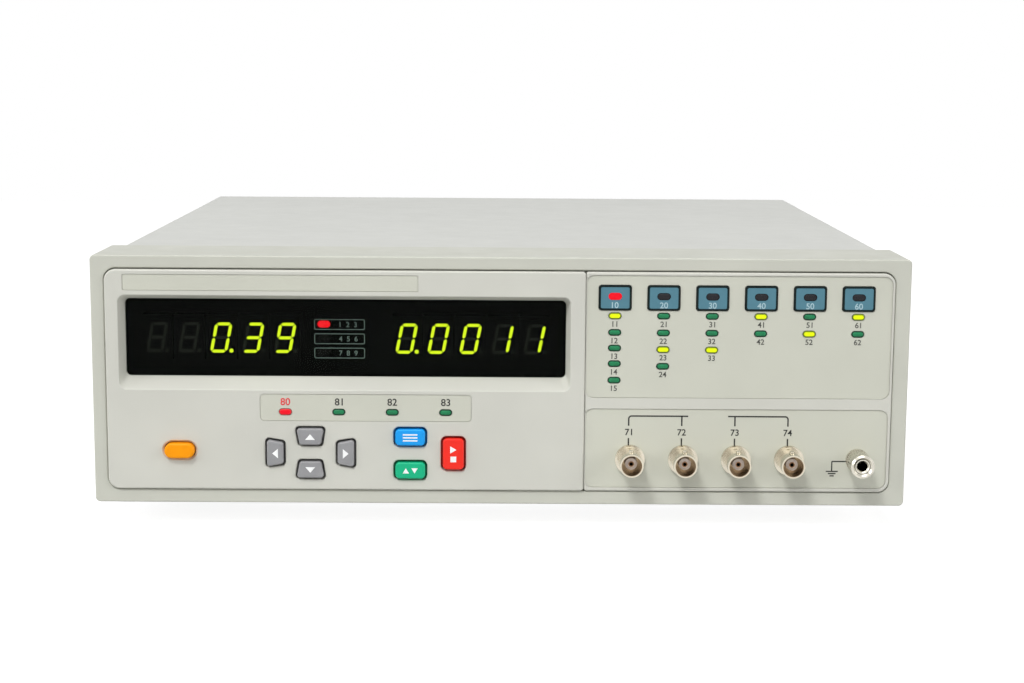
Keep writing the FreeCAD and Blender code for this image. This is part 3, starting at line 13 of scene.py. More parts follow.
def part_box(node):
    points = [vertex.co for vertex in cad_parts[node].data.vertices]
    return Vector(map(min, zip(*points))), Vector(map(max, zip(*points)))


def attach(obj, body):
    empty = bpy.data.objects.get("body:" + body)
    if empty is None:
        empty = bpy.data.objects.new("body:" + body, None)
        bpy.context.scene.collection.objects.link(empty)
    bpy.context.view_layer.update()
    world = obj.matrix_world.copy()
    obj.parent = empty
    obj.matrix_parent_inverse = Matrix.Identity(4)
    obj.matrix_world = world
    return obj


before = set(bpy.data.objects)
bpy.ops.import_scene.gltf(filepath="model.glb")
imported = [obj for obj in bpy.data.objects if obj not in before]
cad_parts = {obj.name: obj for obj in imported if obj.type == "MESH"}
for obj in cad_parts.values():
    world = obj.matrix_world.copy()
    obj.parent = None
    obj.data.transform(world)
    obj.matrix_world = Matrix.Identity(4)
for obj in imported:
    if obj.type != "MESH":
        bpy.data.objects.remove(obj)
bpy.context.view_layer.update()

MM = 0.001
BEZEL_LOW, BEZEL_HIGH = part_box("front_bezel")
ORIGIN = Vector(((BEZEL_LOW.x + BEZEL_HIGH.x) / 2, BEZEL_LOW.y, BEZEL_LOW.z))
FROM_DRAWING = Matrix.Translation(ORIGIN) @ Matrix.Scale(MM, 4) @ Matrix.Rotation(math.pi / 2, 4, "X")

# Camera, in millimetres and degrees
LENS_MM = 66.73
SENSOR_MM = 36.0
CAMERA_PLACE = (0.1, -771.8, 187.0)     # from the same origin as the drawing, y running back
CAMERA_YAW = 0.332
CAMERA_PITCH = 8.728
CAMERA_ROLL = 0.393

# Lights and floor, in metres and watts
LIGHTS = {
    "key_light": {"place": (-1.20, -2.65, 3.45), "size": 1.10, "power": 105.0},
    "left_light": {"place": (-2.70, -1.20, 1.30), "size": 1.60, "power": 31.0},
    "right_light": {"place": (2.80, -1.30, 0.95), "size": 1.60, "power": 36.0},
    "front_light": {"place": (0.30, -3.20, 0.90), "size": 1.20, "power": 4.0},
    "top_light": {"place": (0.10, -0.80, 2.55), "size": 1.60, "power": 16.0},
}
LIGHT_AIM = (0.0, -0.10, 0.05)
AMBIENT = 0.07
FLOOR_SIZE = 3.0
FLOOR_GLOW = 0.88       # the floor's own white, which its shadows darken only a little
FLOOR_TINT = (0.40, 0.40, 0.40, 1.0)       # how strongly light and shadow show on it
FLOOR_BOUNCE = (0.70, 0.70, 0.70, 1.0)     # how much light it throws back at the part
WHITE = (1, 1, 1, 1)

# Finishes in general
NOISE_RANGE = (0.3, 0.7)        # most values of a noise lie between these
GRAIN_DETAIL = 3.0
GLOSS_DIVISION = 3              # patches of gloss in the width of a patch of tone

# Outlines and meshes in general
ARC_STEPS = 6
DISC_STEPS = 24
BEND_STEPS = 8
STADIUM_SHARE = 0.999           # end radius of a stadium, as a share of half its height
MERGE = 1e-4                    # points of a piece closer than this are joined

# Printed marks
INK = 0.05              # thickness of print
LINE = 0.6
LABEL_HEIGHT = 2.3
LABEL_DROP = 3.4        # from the middle of a lamp to the middle of its label
LABEL_WEIGHT = 0.012    # thickening of the strokes, as a share of the type size
INK_GREY = (64, 65, 60)
INK_BLACK = (26, 26, 22)
INK_RED = (214, 40, 48)
INK_PALE = (168, 196, 204)
INK_WHITE = (246, 247, 247)
INK_DIM = (176, 198, 194)

# Lamps, as placed in the solids
LAMP_WIDTH = 5.2
LAMP_HEIGHT = 2.6
LAMP_RIM = 0.42         # dark border left round each lens
LIT_RIM = 0.40          # paler border round the bright middle of a lit lens
LENS_BULGE = 0.3
CORE_RISE = 0.1         # bright middle of a lit lens above the rest of it
LENS_STEPS = 6
LENS_SWEEP = 80         # degrees of the arc that the dome of a lens follows
COLUMN_X = [46.76 + 20.0 * column for column in range(6)]
COLUMN_Z = [
    (79.5, 72.6, 66.1, 59.6, 52.7),
    (79.5, 72.5, 65.6, 58.6),
    (79.5, 72.5, 65.5),
    (79.5, 72.4),
    (79.5, 72.4),
    (79.5, 72.4),
]
LIT_ROWS = (0, 2, 2, 0, 1, 0)           # the lamp that is on in each column
SORT_X = (-88.8, -66.75, -44.7, -22.65)
SORT_Z = 38.75
SORT_LABELS = ("80", "81", "82", "83")
SORT_LABEL_Z = 43.0
SORT_LABEL_HEIGHT = 3.0
UNIT_X = -73.6
UNIT_Z = (73.95, 67.95, 61.95)
UNIT_FRAME = (-77.55, -56.5, 4.5)       # left, right and height of each frame
UNIT_FRAME_CORNER = 0.8
UNIT_FRAME_LINE = 0.35
UNIT_LENS = (5.35, 2.9)
UNIT_TEXT_X = -63.4
UNIT_TEXT = ("1  2  3", "4  5  6", "7  8  9")
UNIT_TEXT_HEIGHT = 2.2

# Digits
DIGIT_GROUPS = (-116.3, -12.6)
DIGIT_PITCH = 13.3
DIGIT_Z = 68.05
DIGIT_HEIGHT = 12.7
DIGIT_WIDTH = 7.2
STROKE = 1.25
STROKE_GAP = 0.2
SLANT = math.tan(math.radians(11.5))
POINT_RADIUS = 0.85
POINT_STEP = (4.15, -5.5)               # from the middle of a digit to its point
READING = (("", "", "0", "3", "9"), ("0", "0", "0", "1", "1"))
POINT_AT = (2, 0)                       # the digit in each group whose point is on
SEGMENT_ENDS = {
    "a": ((-1, 1), (1, 1)),
    "b": ((1, 1), (1, 0)),
    "c": ((1, 0), (1, -1)),
    "d": ((-1, -1), (1, -1)),
    "e": ((-1, 0), (-1, -1)),
    "f": ((-1, 1), (-1, 0)),
    "g": ((-1, 0), (1, 0)),
}
SEGMENTS_OF = {"": "", "0": "abcdef", "1": "bc", "3": "abcdg", "9": "abcdfg"}

# Keys
FLAT_KEYS = ("parameter_key", "frequency_key", "level_key", "range_key", "zero_key", "readout_key")
FLAT_CAP = (13.2, 10.2)
FLAT_BORDER = 0.75
FLAT_CORNER = 0.7
FLAT_LAMP = (5.6, 3.0)
FLAT_LAMP_RISE = 0.6
FLAT_LAMP_DEPTH = 0.4
FLAT_NUMBER_DROP = 3.0
FLAT_NUMBER_HEIGHT = 2.5
LIT_KEY = "parameter_key"
ARROW_TURNS = {"up_key": 0, "left_key": 90, "down_key": 180, "right_key": 270}
ARROW_MARK = (4.1, 2.4)
FUNCTION_BAR = (6.0, 0.55)
FUNCTION_BAR_STEP = 1.25
LIMIT_MARK = (2.6, 2.2)
LIMIT_MARK_STEP = 1.8
START_MARK = (3.0, 2.6)
START_MARK_RISE = 1.9
STOP_MARK = 2.4
STOP_MARK_DROP = 2.1

# Jacks and ground post, as placed in the solids
JACK_PITCH = 22.0
FIRST_JACK = (53.75, 19.5)
JACK_SHADE_RADIUS = 4.2         # reach of the shade painted into the jacks' bores, a little more than the bores' radius
# reach of the near-black shade painted into the hole of each jack's contact
CONTACT_SHADE_RADIUS = 0.85
POST = (148.2, 19.6)
# reach of the black shade painted into the ground post's bore
POST_SHADE_RADIUS = 2.1

# Jack lines and the earth sign
TICK_X = [53.1 + JACK_PITCH * jack for jack in range(4)]
TICK_Z = (25.2, 28.4)
JACK_LABELS = ("71", "72", "73", "74")
JACK_LABEL_Z = 30.9
JACK_LABEL_HEIGHT = 2.75
BRACKET_FOOT = 33.6
BRACKET_TOP = 37.7
BRACKET_BEND = 1.2
BRACKET_ENDS = (77.7, 94.2)
EARTH_LINE = ((143.4, 18.97), (137.8, 18.97), (137.8, 14.95))
EARTH_BARS = ((135.4, 140.4, 14.75), (136.3, 139.5, 13.8), (137.0, 138.8, 12.83))
EARTH_BAR = 0.5
EARTH_BEND = 0.3


# Finishes

def linear(colour):
    """Linear RGBA of a colour given in 8-bit sRGB."""
    shares = [channel / 255 for channel in colour]
    straight = [s / 12.92 if s <= 0.04045 else ((s + 0.055) / 1.055) ** 2.4 for s in shares]
    return (*straight, 1.0)


def scaled(colour, factor):
    return (*[min(channel * factor, 1.0) for channel in colour[:3]], 1.0)


def new_material(name):
    material = bpy.data.materials.new(name)
    material.use_nodes = True
    tree = material.node_tree
    return material, tree, tree.nodes["Principled BSDF"]


def object_place(tree, stretch=(1, 1, 1)):
    """Point on the object, with the texture drawn out by the stretch."""
    place = tree.nodes.new("ShaderNodeTexCoord").outputs["Object"]
    mapping = tree.nodes.new("ShaderNodeMapping")
    mapping.inputs["Scale"].default_value = [1 / s for s in stretch]
    tree.links.new(place, mapping.inputs["Vector"])
    return mapping.outputs["Vector"]


def noise(tree, place, size_mm, detail=2.0):
    node = tree.nodes.new("ShaderNodeTexNoise")
    node.inputs["Scale"].default_value = 1 / (size_mm * MM)
    node.inputs["Detail"].default_value = detail
    tree.links.new(place, node.inputs["Vector"])
    return node.outputs["Fac"]


def cells(tree, place, size_mm):
    node = tree.nodes.new("ShaderNodeTexVoronoi")
    node.inputs["Scale"].default_value = 1 / (size_mm * MM)
    tree.links.new(place, node.inputs["Vector"])
    return node.outputs["Distance"]


def between(tree, value, low, high):
    """Value of a noise, spread from low to high."""
    node = tree.nodes.new("ShaderNodeMapRange")
    node.inputs["From Min"].default_value = NOISE_RANGE[0]
    node.inputs["From Max"].default_value = NOISE_RANGE[1]
    node.inputs["To Min"].default_value = low
    node.inputs["To Max"].default_value = high
    tree.links.new(value, node.inputs["Value"])
    return node.outputs["Result"]


def blended(tree, factor, first, second):
    node = tree.nodes.new("ShaderNodeMix")
    node.data_type = "RGBA"
    for socket, tone in ((node.inputs[6], first), (node.inputs[7], second)):
        if isinstance(tone, bpy.types.NodeSocket):
            tree.links.new(tone, socket)
        else:
            socket.default_value = tone
    tree.links.new(factor, node.inputs[0])
    return node.outputs[2]


def bumped(tree, height, depth_mm):
    node = tree.nodes.new("ShaderNodeBump")
    node.inputs["Strength"].default_value = 1.0
    node.inputs["Distance"].default_value = depth_mm * MM
    tree.links.new(height, node.inputs["Height"])
    return node.outputs["Normal"]


def calculated(tree, operation, value, *settings):
    node = tree.nodes.new("ShaderNodeMath")
    node.operation = operation
    tree.links.new(value, node.inputs[0])
    for socket, setting in zip(node.inputs[1:], settings):
        socket.default_value = setting
    return node.outputs["Value"]


def within(tree, middle, radius, pitch=None):
    """1 inside a bore about an axis along y, or about a row of such axes at a pitch: the mask for shade
    painted into bores.
    """
    x, _, z = ORIGIN + Vector((middle[0], 0, middle[1])) * MM
    place = tree.nodes.new("ShaderNodeSeparateXYZ")
    tree.links.new(tree.nodes.new("ShaderNodeTexCoord").outputs["Object"], place.inputs["Vector"])
    across = place.outputs["X"]
    if pitch is not None:
        half = pitch * MM / 2
        across = calculated(tree, "WRAP", across, x + half, x - half)
    flat = tree.nodes.new("ShaderNodeCombineXYZ")
    tree.links.new(across, flat.inputs["X"])
    tree.links.new(place.outputs["Z"], flat.inputs["Z"])
    distance = tree.nodes.new("ShaderNodeVectorMath")
    distance.operation = "DISTANCE"
    distance.inputs[1].default_value = (x, 0, z)
    tree.links.new(flat.outputs["Vector"], distance.inputs[0])
    return calculated(tree, "LESS_THAN", distance.outputs["Value"], radius * MM)


def surface(name, colour, shade=0.05, patch=30.0, gloss=(0.42, 0.54), grain=0.5, depth=0.012,
            metallic=0.0, specular=0.5, stretch=(1, 1, 1), pattern=noise, painted_bore_shade=None):
    """Finish with two close tones in patches, an uneven gloss, a fine grain and perhaps painted shade in a
    bore.
    """
    material, tree, shader = new_material(name)
    place = object_place(tree, stretch)
    tone = linear(colour)
    patches = between(tree, pattern(tree, place, patch), 0.0, 1.0)
    tones = blended(tree, patches, scaled(tone, 1 - shade), scaled(tone, 1 + shade))
    # painted shade: a darker colour inside a bore stands in for the shade that falls there
    if painted_bore_shade is not None:
        bore_shade_colour, *where = painted_bore_shade
        tones = blended(tree, within(tree, *where), tones, linear(bore_shade_colour))
    grains = noise(tree, place, grain, GRAIN_DETAIL)
    tree.links.new(tones, shader.inputs["Base Color"])
    sheen = noise(tree, place, patch / GLOSS_DIVISION)
    tree.links.new(between(tree, sheen, *gloss), shader.inputs["Roughness"])
    tree.links.new(bumped(tree, grains, depth), shader.inputs["Normal"])
    shader.inputs["Metallic"].default_value = metallic
    shader.inputs["Specular IOR Level"].default_value = specular
    return material


def glowing(name, colour, edge, strength, patch=1.2, grain=0.4, depth=0.01, dimming=0.1,
            roughness=0.35, specular=0.1):
    """Lit plastic, a little uneven in tone."""
    material, tree, shader = new_material(name)
    place = object_place(tree)
    factor = between(tree, noise(tree, place, patch), 0.0, 1.0)
    tones = blended(tree, factor, linear(edge), linear(colour))
    tree.links.new(tones, shader.inputs["Emission Color"])
    tree.links.new(bumped(tree, noise(tree, place, grain), depth), shader.inputs["Normal"])
    shader.inputs["Emission Strength"].default_value = strength
    shader.inputs["Base Color"].default_value = scaled(linear(colour), dimming)
    shader.inputs["Roughness"].default_value = roughness
    shader.inputs["Specular IOR Level"].default_value = specular
    return material


def dark_window(name, dark=(2, 3, 2), pale=(6, 7, 6), smudge=18.0, detail=4.0, gloss=(0.06, 0.12),
                ripple=9.0, depth=0.004, specular=0.12, tint=(0.80, 0.84, 0.80, 1.0), clearness=0.75):
    """Smoked clear plastic: a dark gloss with some of what lies behind it."""
    material, tree, shader = new_material(name)
    place = object_place(tree)
    smudges = noise(tree, place, smudge, detail)
    tones = blended(tree, smudges, linear(dark), linear(pale))
    tree.links.new(tones, shader.inputs["Base Color"])
    tree.links.new(between(tree, smudges, *gloss), shader.inputs["Roughness"])
    tree.links.new(bumped(tree, noise(tree, place, ripple), depth), shader.inputs["Normal"])
    shader.inputs["Specular IOR Level"].default_value = specular
    clear = tree.nodes.new("ShaderNodeBsdfTransparent")
    clear.inputs["Color"].default_value = tint
    mix = tree.nodes.new("ShaderNodeMixShader")
    mix.inputs["Fac"].default_value = clearness
    tree.links.new(shader.outputs["BSDF"], mix.inputs[1])
    tree.links.new(clear.outputs["BSDF"], mix.inputs[2])
    tree.links.new(mix.outputs["Shader"], tree.nodes["Material Output"].inputs["Surface"])
    return material


PLASTIC = {"shade": 0.03, "grain": 0.45, "depth": 0.012}
DARK = {"shade": 0.15, "gloss": (0.45, 0.6), "grain": 0.6, "depth": 0.015}
METAL = {"metallic": 1.0, "shade": 0.08, "patch": 6.0, "grain": 0.25, "depth": 0.003}
PLATING = {**METAL, "depth": 0.001}
INKS = {"shade": 0.06, "patch": 4.0, "gloss": (0.5, 0.62), "grain": 0.2, "depth": 0.004}
KEYS = {"shade": 0.04, "patch": 5.0, "gloss": (0.34, 0.44), "grain": 0.35, "depth": 0.006,
        "specular": 0.3}
DULL_KEYS = {**KEYS, "specular": 0.15}
LENSES = {"shade": 0.12, "patch": 1.5, "gloss": (0.2, 0.3), "specular": 0.25}
BOARDS = {"shade": 0.25, "patch": 3.0, "gloss": (0.25, 0.4), "grain": 0.8, "pattern": cells}
UNSEEN = {"shade": 0.3, "gloss": (0.6, 0.75), "grain": 0.6, "specular": 0.05}

FINISHES = {
    "bezel": surface("bezel_plastic", (196, 197, 186), **PLASTIC),
    "panel": surface("panel_plastic", (203, 203, 194), **PLASTIC),
    "film": surface("panel_film", (200, 201, 188), shade=0.025, gloss=(0.38, 0.48), grain=0.3, depth=0.006),
    "cover": surface("cover_paint", (205, 206, 201), shade=0.02, gloss=(0.45, 0.55), grain=0.7, depth=0.03),
    "window": dark_window("display_window"),
    "sheet": surface("plated_sheet", (190, 192, 196), patch=9.0, gloss=(0.28, 0.42), metallic=1.0,
                     shade=0.12, grain=1.2, depth=0.004, pattern=cells),
    "bar": surface("drawn_bar", (196, 198, 200), stretch=(1, 30, 1), **METAL),
    "screw": surface("screw_steel", (178, 180, 182), gloss=(0.24, 0.36), **METAL),
    "foot": surface("foot_plastic", (46, 46, 48), **DARK),
    "rubber": surface("foot_rubber", (34, 34, 35), shade=0.2, gloss=(0.7, 0.85), grain=0.8, depth=0.03),
    "leg": surface("leg_plastic", (56, 56, 59), **DARK),
    "board": surface("board_laminate", (22, 74, 44), **BOARDS),
    "dark_board": surface("dark_board", (4, 6, 5), **UNSEEN),
    "digit": surface("digit_face", (3, 4, 3), **UNSEEN),
    "rim": surface("lamp_rim", (14, 60, 40), specular=0.2, **DARK),
    "switch": surface("switch_plastic", (30, 30, 32), **DARK),
    "border": surface("key_border", (4, 22, 22), **DULL_KEYS),
    "teal": surface("key_teal", (80, 126, 142), **KEYS),
    "grey_key": surface("key_grey", (148, 148, 150), **KEYS),
    "blue_key": surface("key_blue", (14, 156, 238), **KEYS),
    "green_key": surface("key_green", (8, 178, 128), **KEYS),
    "red_key": surface("key_red", (240, 42, 28), **KEYS),
    "orange_key": surface("key_orange", (250, 155, 5), **DULL_KEYS),
    # painted shade: the inside of each jack's bore is coloured a darker brown than the nickel
    "nickel": surface("bright_nickel_painted_bore_shade", (202, 195, 178), gloss=(0.14, 0.22),
                      painted_bore_shade=((150, 131, 106), FIRST_JACK, JACK_SHADE_RADIUS, JACK_PITCH), **PLATING),
    # painted shade: the bore of the ground post is coloured black
    "post": surface("post_nickel", (204, 200, 188), gloss=(0.20, 0.30),
                    painted_bore_shade=((4, 4, 4), POST, POST_SHADE_RADIUS), **METAL),
    # painted shade: the hole in each contact is coloured near black
    "contact": surface("contact_brass", (160, 120, 88), gloss=(0.25, 0.38),
                       painted_bore_shade=((6, 4, 3), FIRST_JACK, CONTACT_SHADE_RADIUS, JACK_PITCH), **METAL),
    "brass": surface("plated_brass", (206, 172, 96), gloss=(0.25, 0.38), **METAL),
    "insulator": surface("white_insulator", (252, 242, 236), gloss=(0.35, 0.45), shade=0.02),
    "inlet": surface("inlet_plastic", (24, 24, 26), **DARK),
    "glass": surface("fuse_glass", (206, 214, 212), gloss=(0.05, 0.1), shade=0.05, depth=0.002),
    "component": surface("component_black", (32, 32, 34), patch=8.0, shade=0.3, gloss=(0.4, 0.6)),
    "core": surface("core_sheets", (74, 70, 66), stretch=(40, 1, 40), shade=0.3, patch=4.0, grain=0.6,
                    depth=0.05),
    "tape": surface("coil_tape", (206, 168, 62), shade=0.08, patch=12.0, gloss=(0.3, 0.42)),
    "lead": surface("lead_jacket", (128, 128, 130), shade=0.08, patch=4.0, gloss=(0.4, 0.55)),
    "lens": surface("green_lens", (26, 124, 78), **LENSES),
    "dark_lens": surface("dark_lens", (24, 24, 29), **LENSES),
    "unit_lens": surface("unit_lens", (16, 16, 16), **LENSES),
    "olive_lens": surface("olive_lens", (122, 140, 22), **LENSES),
    "red_lens": surface("red_lens", (226, 50, 56), **LENSES),
    "segment": surface("unlit_segment", (62, 62, 58), shade=0.1, patch=3.0, specular=0.1),
    "lit_segment": glowing("lit_segment", (238, 255, 44), (226, 252, 30), 2.5),
    "lit_lens": glowing("lit_green_lens", (244, 255, 24), (226, 248, 10), 0.95),
    "lit_red": glowing("lit_red_lens", (246, 26, 44), (240, 14, 34), 0.95),
    "lit_unit": glowing("lit_unit_lens", (255, 40, 50), (255, 18, 30), 2.4),
    "ink_grey": surface("ink_grey", INK_GREY, **INKS),
    "ink_black": surface("ink_black", INK_BLACK, **INKS),
    "ink_red": surface("ink_red", INK_RED, **INKS),
    "ink_pale": surface("ink_pale", INK_PALE, **INKS),
    "ink_white": surface("ink_white", INK_WHITE, **INKS),
    "ink_dim": surface("ink_dim", INK_DIM, **INKS),
}

NODE_FINISH = {
    "front_bezel": "bezel",
    "display_panel": "panel",
    "control_panel": "panel",
    "key_film": "film",
    "terminal_film": "film",
    "title_strip": "film",
    "sort_strip": "film",
    "display_window": "window",
    "top_cover": "cover",
    "bottom_tray": "sheet",
    "rear_panel": "cover",
    "upper_rails": "bar",
    "case_screws": "screw",
    "inner_screws": "screw",
    "foot_screws": "screw",
    "front_feet": "foot",
    "rear_feet": "rubber",
    "left_tilt_leg": "leg",
    "right_tilt_leg": "leg",
    "display_board": "dark_board",
    "digit_modules": "digit",
    "unit_lights": "digit",
    "sort_lights": "rim",
    "indicator_lights": "rim",
    "left_key_board": "board",
    "right_key_board": "board",
    "key_switches": "switch",
    "power_switch": "switch",
    "power_button": "orange_key",
    "bnc_shells": "nickel",
    "bnc_insulators": "insulator",
    "bnc_contacts": "contact",
    "terminal_nuts": "screw",
    "ground_stud": "post",
    "ground_washer": "post",
    "ground_knob": "post",
    "power_inlet": "inlet",
    "inlet_pins": "brass",
    "fuse_drawer": "inlet",
    "fuse": "glass",
    "main_board": "board",
    "board_parts": "component",
    "board_standoffs": "brass",
    "transformer_core": "core",
    "transformer_coil": "tape",
    "ribbon_cable": "lead",
    "test_leads": "lead",
    "function_key": "blue_key",
    "limit_key": "green_key",
    "start_key": "red_key",
}
NODE_FINISH.update({name: "grey_key" for name in ARROW_TURNS})
NODE_FINISH.update({name: "border" for name in FLAT_KEYS})

for node_name, finish in NODE_FINISH.items():
    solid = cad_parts[node_name]
    if not solid.material_slots:
        solid.data.materials.append(None)
    for material_slot in solid.material_slots:
        material_slot.material = FINISHES[finish]


# Outlines

def about(x, z, width, height):
    """Area of a rectangle about a middle point."""
    return (x - width / 2, x + width / 2, z - height / 2, z + height / 2)


def grown(area, margin):
    x0, x1, z0, z1 = area
    return (x0 - margin, x1 + margin, z0 - margin, z1 + margin)


def arc(x, z, radius, start, end, steps=ARC_STEPS):
    """Points on an arc between two angles in degrees."""
    angles = [math.radians(start + (end - start) * step / steps) for step in range(steps + 1)]
    return [(x + radius * math.cos(a), z + radius * math.sin(a)) for a in angles]


def rounded(area, radius):
    x0, x1, z0, z1 = area
    corners = ((x1, z1, 0), (x0, z1, 90), (x0, z0, 180), (x1, z0, 270))
    points = []
    for x, z, start in corners:
        middle_x = x - math.copysign(radius, x - x0 - radius)
        middle_z = z - math.copysign(radius, z - z0 - radius)
        points += arc(middle_x, middle_z, radius, start, start + 90)
    return points


def stadium(x, z, width, height):
    return rounded(about(x, z, width, height), height / 2 * STADIUM_SHARE)


def disc(x, z, radius):
    return arc(x, z, radius, 0, 360 - 360 / DISC_STEPS, DISC_STEPS - 1)


def bar(x0, x1, z, width):
    return [(x0, z - width / 2), (x1, z - width / 2), (x1, z + width / 2), (x0, z + width / 2)]


def upright(x, z0, z1, width):
    return [(x - width / 2, z0), (x + width / 2, z0), (x + width / 2, z1), (x - width / 2, z1)]


def bent(start, corner, end, radius):
    """Path from start to end by way of a rounded right-angled corner."""
    towards_start = Vector(start) - Vector(corner)
    towards_end = Vector(end) - Vector(corner)
    first = towards_start.normalized() * radius
    second = towards_end.normalized() * radius
    middle = Vector(corner) + first + second
    path = [tuple(start)]
    for step in range(BEND_STEPS + 1):
        angle = math.pi / 2 * step / BEND_STEPS
        path.append(tuple(middle - second * math.cos(angle) - first * math.sin(angle)))
    return path + [tuple(end)]


def stroked(path, width):
    """Closed outline of a line of this width along a smooth path."""
    left, right = [], []
    for i, point in enumerate(path):
        ahead = Vector(path[min(i + 1, len(path) - 1)]) - Vector(path[max(i - 1, 0)])
        side = Vector((-ahead.y, ahead.x)).normalized() * (width / 2)
        left.append(tuple(Vector(point) + side))
        right.append(tuple(Vector(point) - side))
    return left + right[::-1]


def ring(area, radius, width):
    return [rounded(area, radius), rounded(grown(area, -width), radius - width)]


# Meshes in drawing coordinates

def mesh_of(curve):
    """Mesh of a flat curve, one unit thick about z = 0; the curve is used up."""
    curve.extrude = 0.5
    holder = bpy.data.objects.new(curve.name, curve)
    mesh = bpy.data.meshes.new_from_object(holder)
    bpy.data.objects.remove(holder)
    bpy.data.curves.remove(curve)
    return mesh


def plate(outlines, low, high):
    """Flat plate between two heights; an outline inside another is a hole in it."""
    curve = bpy.data.curves.new("outline", "CURVE")
    curve.dimensions = "2D"
    curve.fill_mode = "BOTH"
    for points in outlines:
        spline = curve.splines.new("POLY")
        spline.points.add(len(points) - 1)
        for knot, (x, z) in zip(spline.points, points):
            knot.co = (x, z, 0, 1)
        spline.use_cyclic_u = True
    mesh = mesh_of(curve)
    mesh.transform(lifted(low, high))
    return mesh


def lifted(low, high):
    """Moves a mesh one unit thick to lie between two heights."""
    thickness = Matrix.Diagonal((1, 1, high - low, 1))
    return Matrix.Translation((0, 0, (low + high) / 2)) @ thickness


def label(text, x, z, height, low):
    """Text of this height about a middle point, one print's thickness above low."""
    curve = bpy.data.curves.new("text", "FONT")
    curve.body = text
    curve.offset = LABEL_WEIGHT
    mesh = mesh_of(curve)
    xs = [vertex.co.x for vertex in mesh.vertices]
    ys = [vertex.co.y for vertex in mesh.vertices]
    size = height / (max(ys) - min(ys))
    middle = Vector(((max(xs) + min(xs)) / 2, (max(ys) + min(ys)) / 2, 0))
    mesh.transform(Matrix.Diagonal((size, size, 1, 1)) @ Matrix.Translation(-middle))
    mesh.transform(Matrix.Translation((x, z, 0)) @ lifted(low, low + INK))
    return mesh


def lens(x, z, width, height, low, high):
    """Lamp lens with a domed front."""
    rings = [(0, low)]
    for step in range(LENS_STEPS + 1):
        angle = math.radians(LENS_SWEEP * step / LENS_STEPS)
        inset = height / 2 * (1 - math.cos(angle))
        rings.append((inset, high - LENS_BULGE * (1 - math.sin(angle))))
    shape = bmesh.new()
    loops = []
    for inset, out in rings:
        points = stadium(x, z, width - 2 * inset, height - 2 * inset)
        loops.append([shape.verts.new((px, pz, out)) for px, pz in points])
    for lower, upper in zip(loops, loops[1:]):
        for i in range(len(lower)):
            shape.faces.new((lower[i - 1], lower[i], upper[i], upper[i - 1]))
    shape.faces.new(loops[-1])
    shape.faces.new(loops[0][::-1])
    mesh = bpy.data.meshes.new("lens")
    shape.to_mesh(mesh)
    shape.free()
    return mesh


# Pieces

def front_of(node):
    """How far a solid reaches out of the panel plane."""
    return (ORIGIN.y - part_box(node)[0].y) / MM


def middle_of(node):
    low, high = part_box(node)
    middle = ((low + high) / 2 - ORIGIN) / MM
    return middle.x, middle.z


def piece(name, meshes, finish, body="case", smooth=False):
    """One piece from several meshes drawn on the front, which are used up."""
    shape = bmesh.new()
    for mesh in meshes:
        shape.from_mesh(mesh)
        bpy.data.meshes.remove(mesh)
    bmesh.ops.remove_doubles(shape, verts=shape.verts, dist=MERGE)
    bmesh.ops.recalc_face_normals(shape, faces=shape.faces)
    shape.transform(FROM_DRAWING)
    for face in shape.faces:
        face.smooth = smooth
    joined = bpy.data.meshes.new(name)
    shape.to_mesh(joined)
    shape.free()
    joined.materials.append(FINISHES[finish])
    made = bpy.data.objects.new(name, joined)
    bpy.context.scene.collection.objects.link(made)
    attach(made, body)
    return made


def lamp_lens(x, z, front, rim=LAMP_RIM, size=(LAMP_WIDTH, LAMP_HEIGHT)):
    """Lens on the front of a lamp, inside a rim."""
    width = size[0] - 2 * rim
    height = size[1] - 2 * rim
    return lens(x, z, width, height, front - INK, front + LENS_BULGE)


def lit_lens(x, z, front):
    """Lens of a lit lamp, which fills its rim, and the bright middle of that lens."""
    return lamp_lens(x, z, front, INK), lamp_lens(x, z, front + CORE_RISE, LIT_RIM)


def indicator_lamps():
    front = front_of("indicator_lights")
    film = front_of("key_film")
    lit, cores, dark, labels = [], [], [], []
    for column, (x, rows) in enumerate(zip(COLUMN_X, COLUMN_Z)):
        for row, z in enumerate(rows):
            if row == LIT_ROWS[column]:
                glass, core = lit_lens(x, z, front)
                lit.append(glass)
                cores.append(core)
            else:
                dark.append(lamp_lens(x, z, front))
            number = f"{column + 1}{row + 1}"
            labels.append(label(number, x, z - LABEL_DROP, LABEL_HEIGHT, film))
    piece("indicator_lenses_lit", lit, "olive_lens", smooth=True)
    piece("indicator_cores_lit", cores, "lit_lens", smooth=True)
    piece("indicator_lenses_dark", dark, "lens", smooth=True)
    piece("indicator_numbers", labels, "ink_grey")


def sort_lamps():
    front = front_of("sort_lights")
    strip = front_of("sort_strip")
    glass, core = lit_lens(SORT_X[0], SORT_Z, front)
    lenses = [lamp_lens(x, SORT_Z, front) for x in SORT_X[1:]]
    labels = [
        label(text, x, SORT_LABEL_Z, SORT_LABEL_HEIGHT, strip) for text, x in zip(SORT_LABELS, SORT_X)
    ]
    piece("sort_lens_lit", [glass], "red_lens", smooth=True)
    piece("sort_core_lit", [core], "lit_red", smooth=True)
    piece("sort_lenses_dark", lenses, "lens", smooth=True)
    piece("sort_number_red", labels[:1], "ink_red")
    piece("sort_numbers", labels[1:], "ink_black")


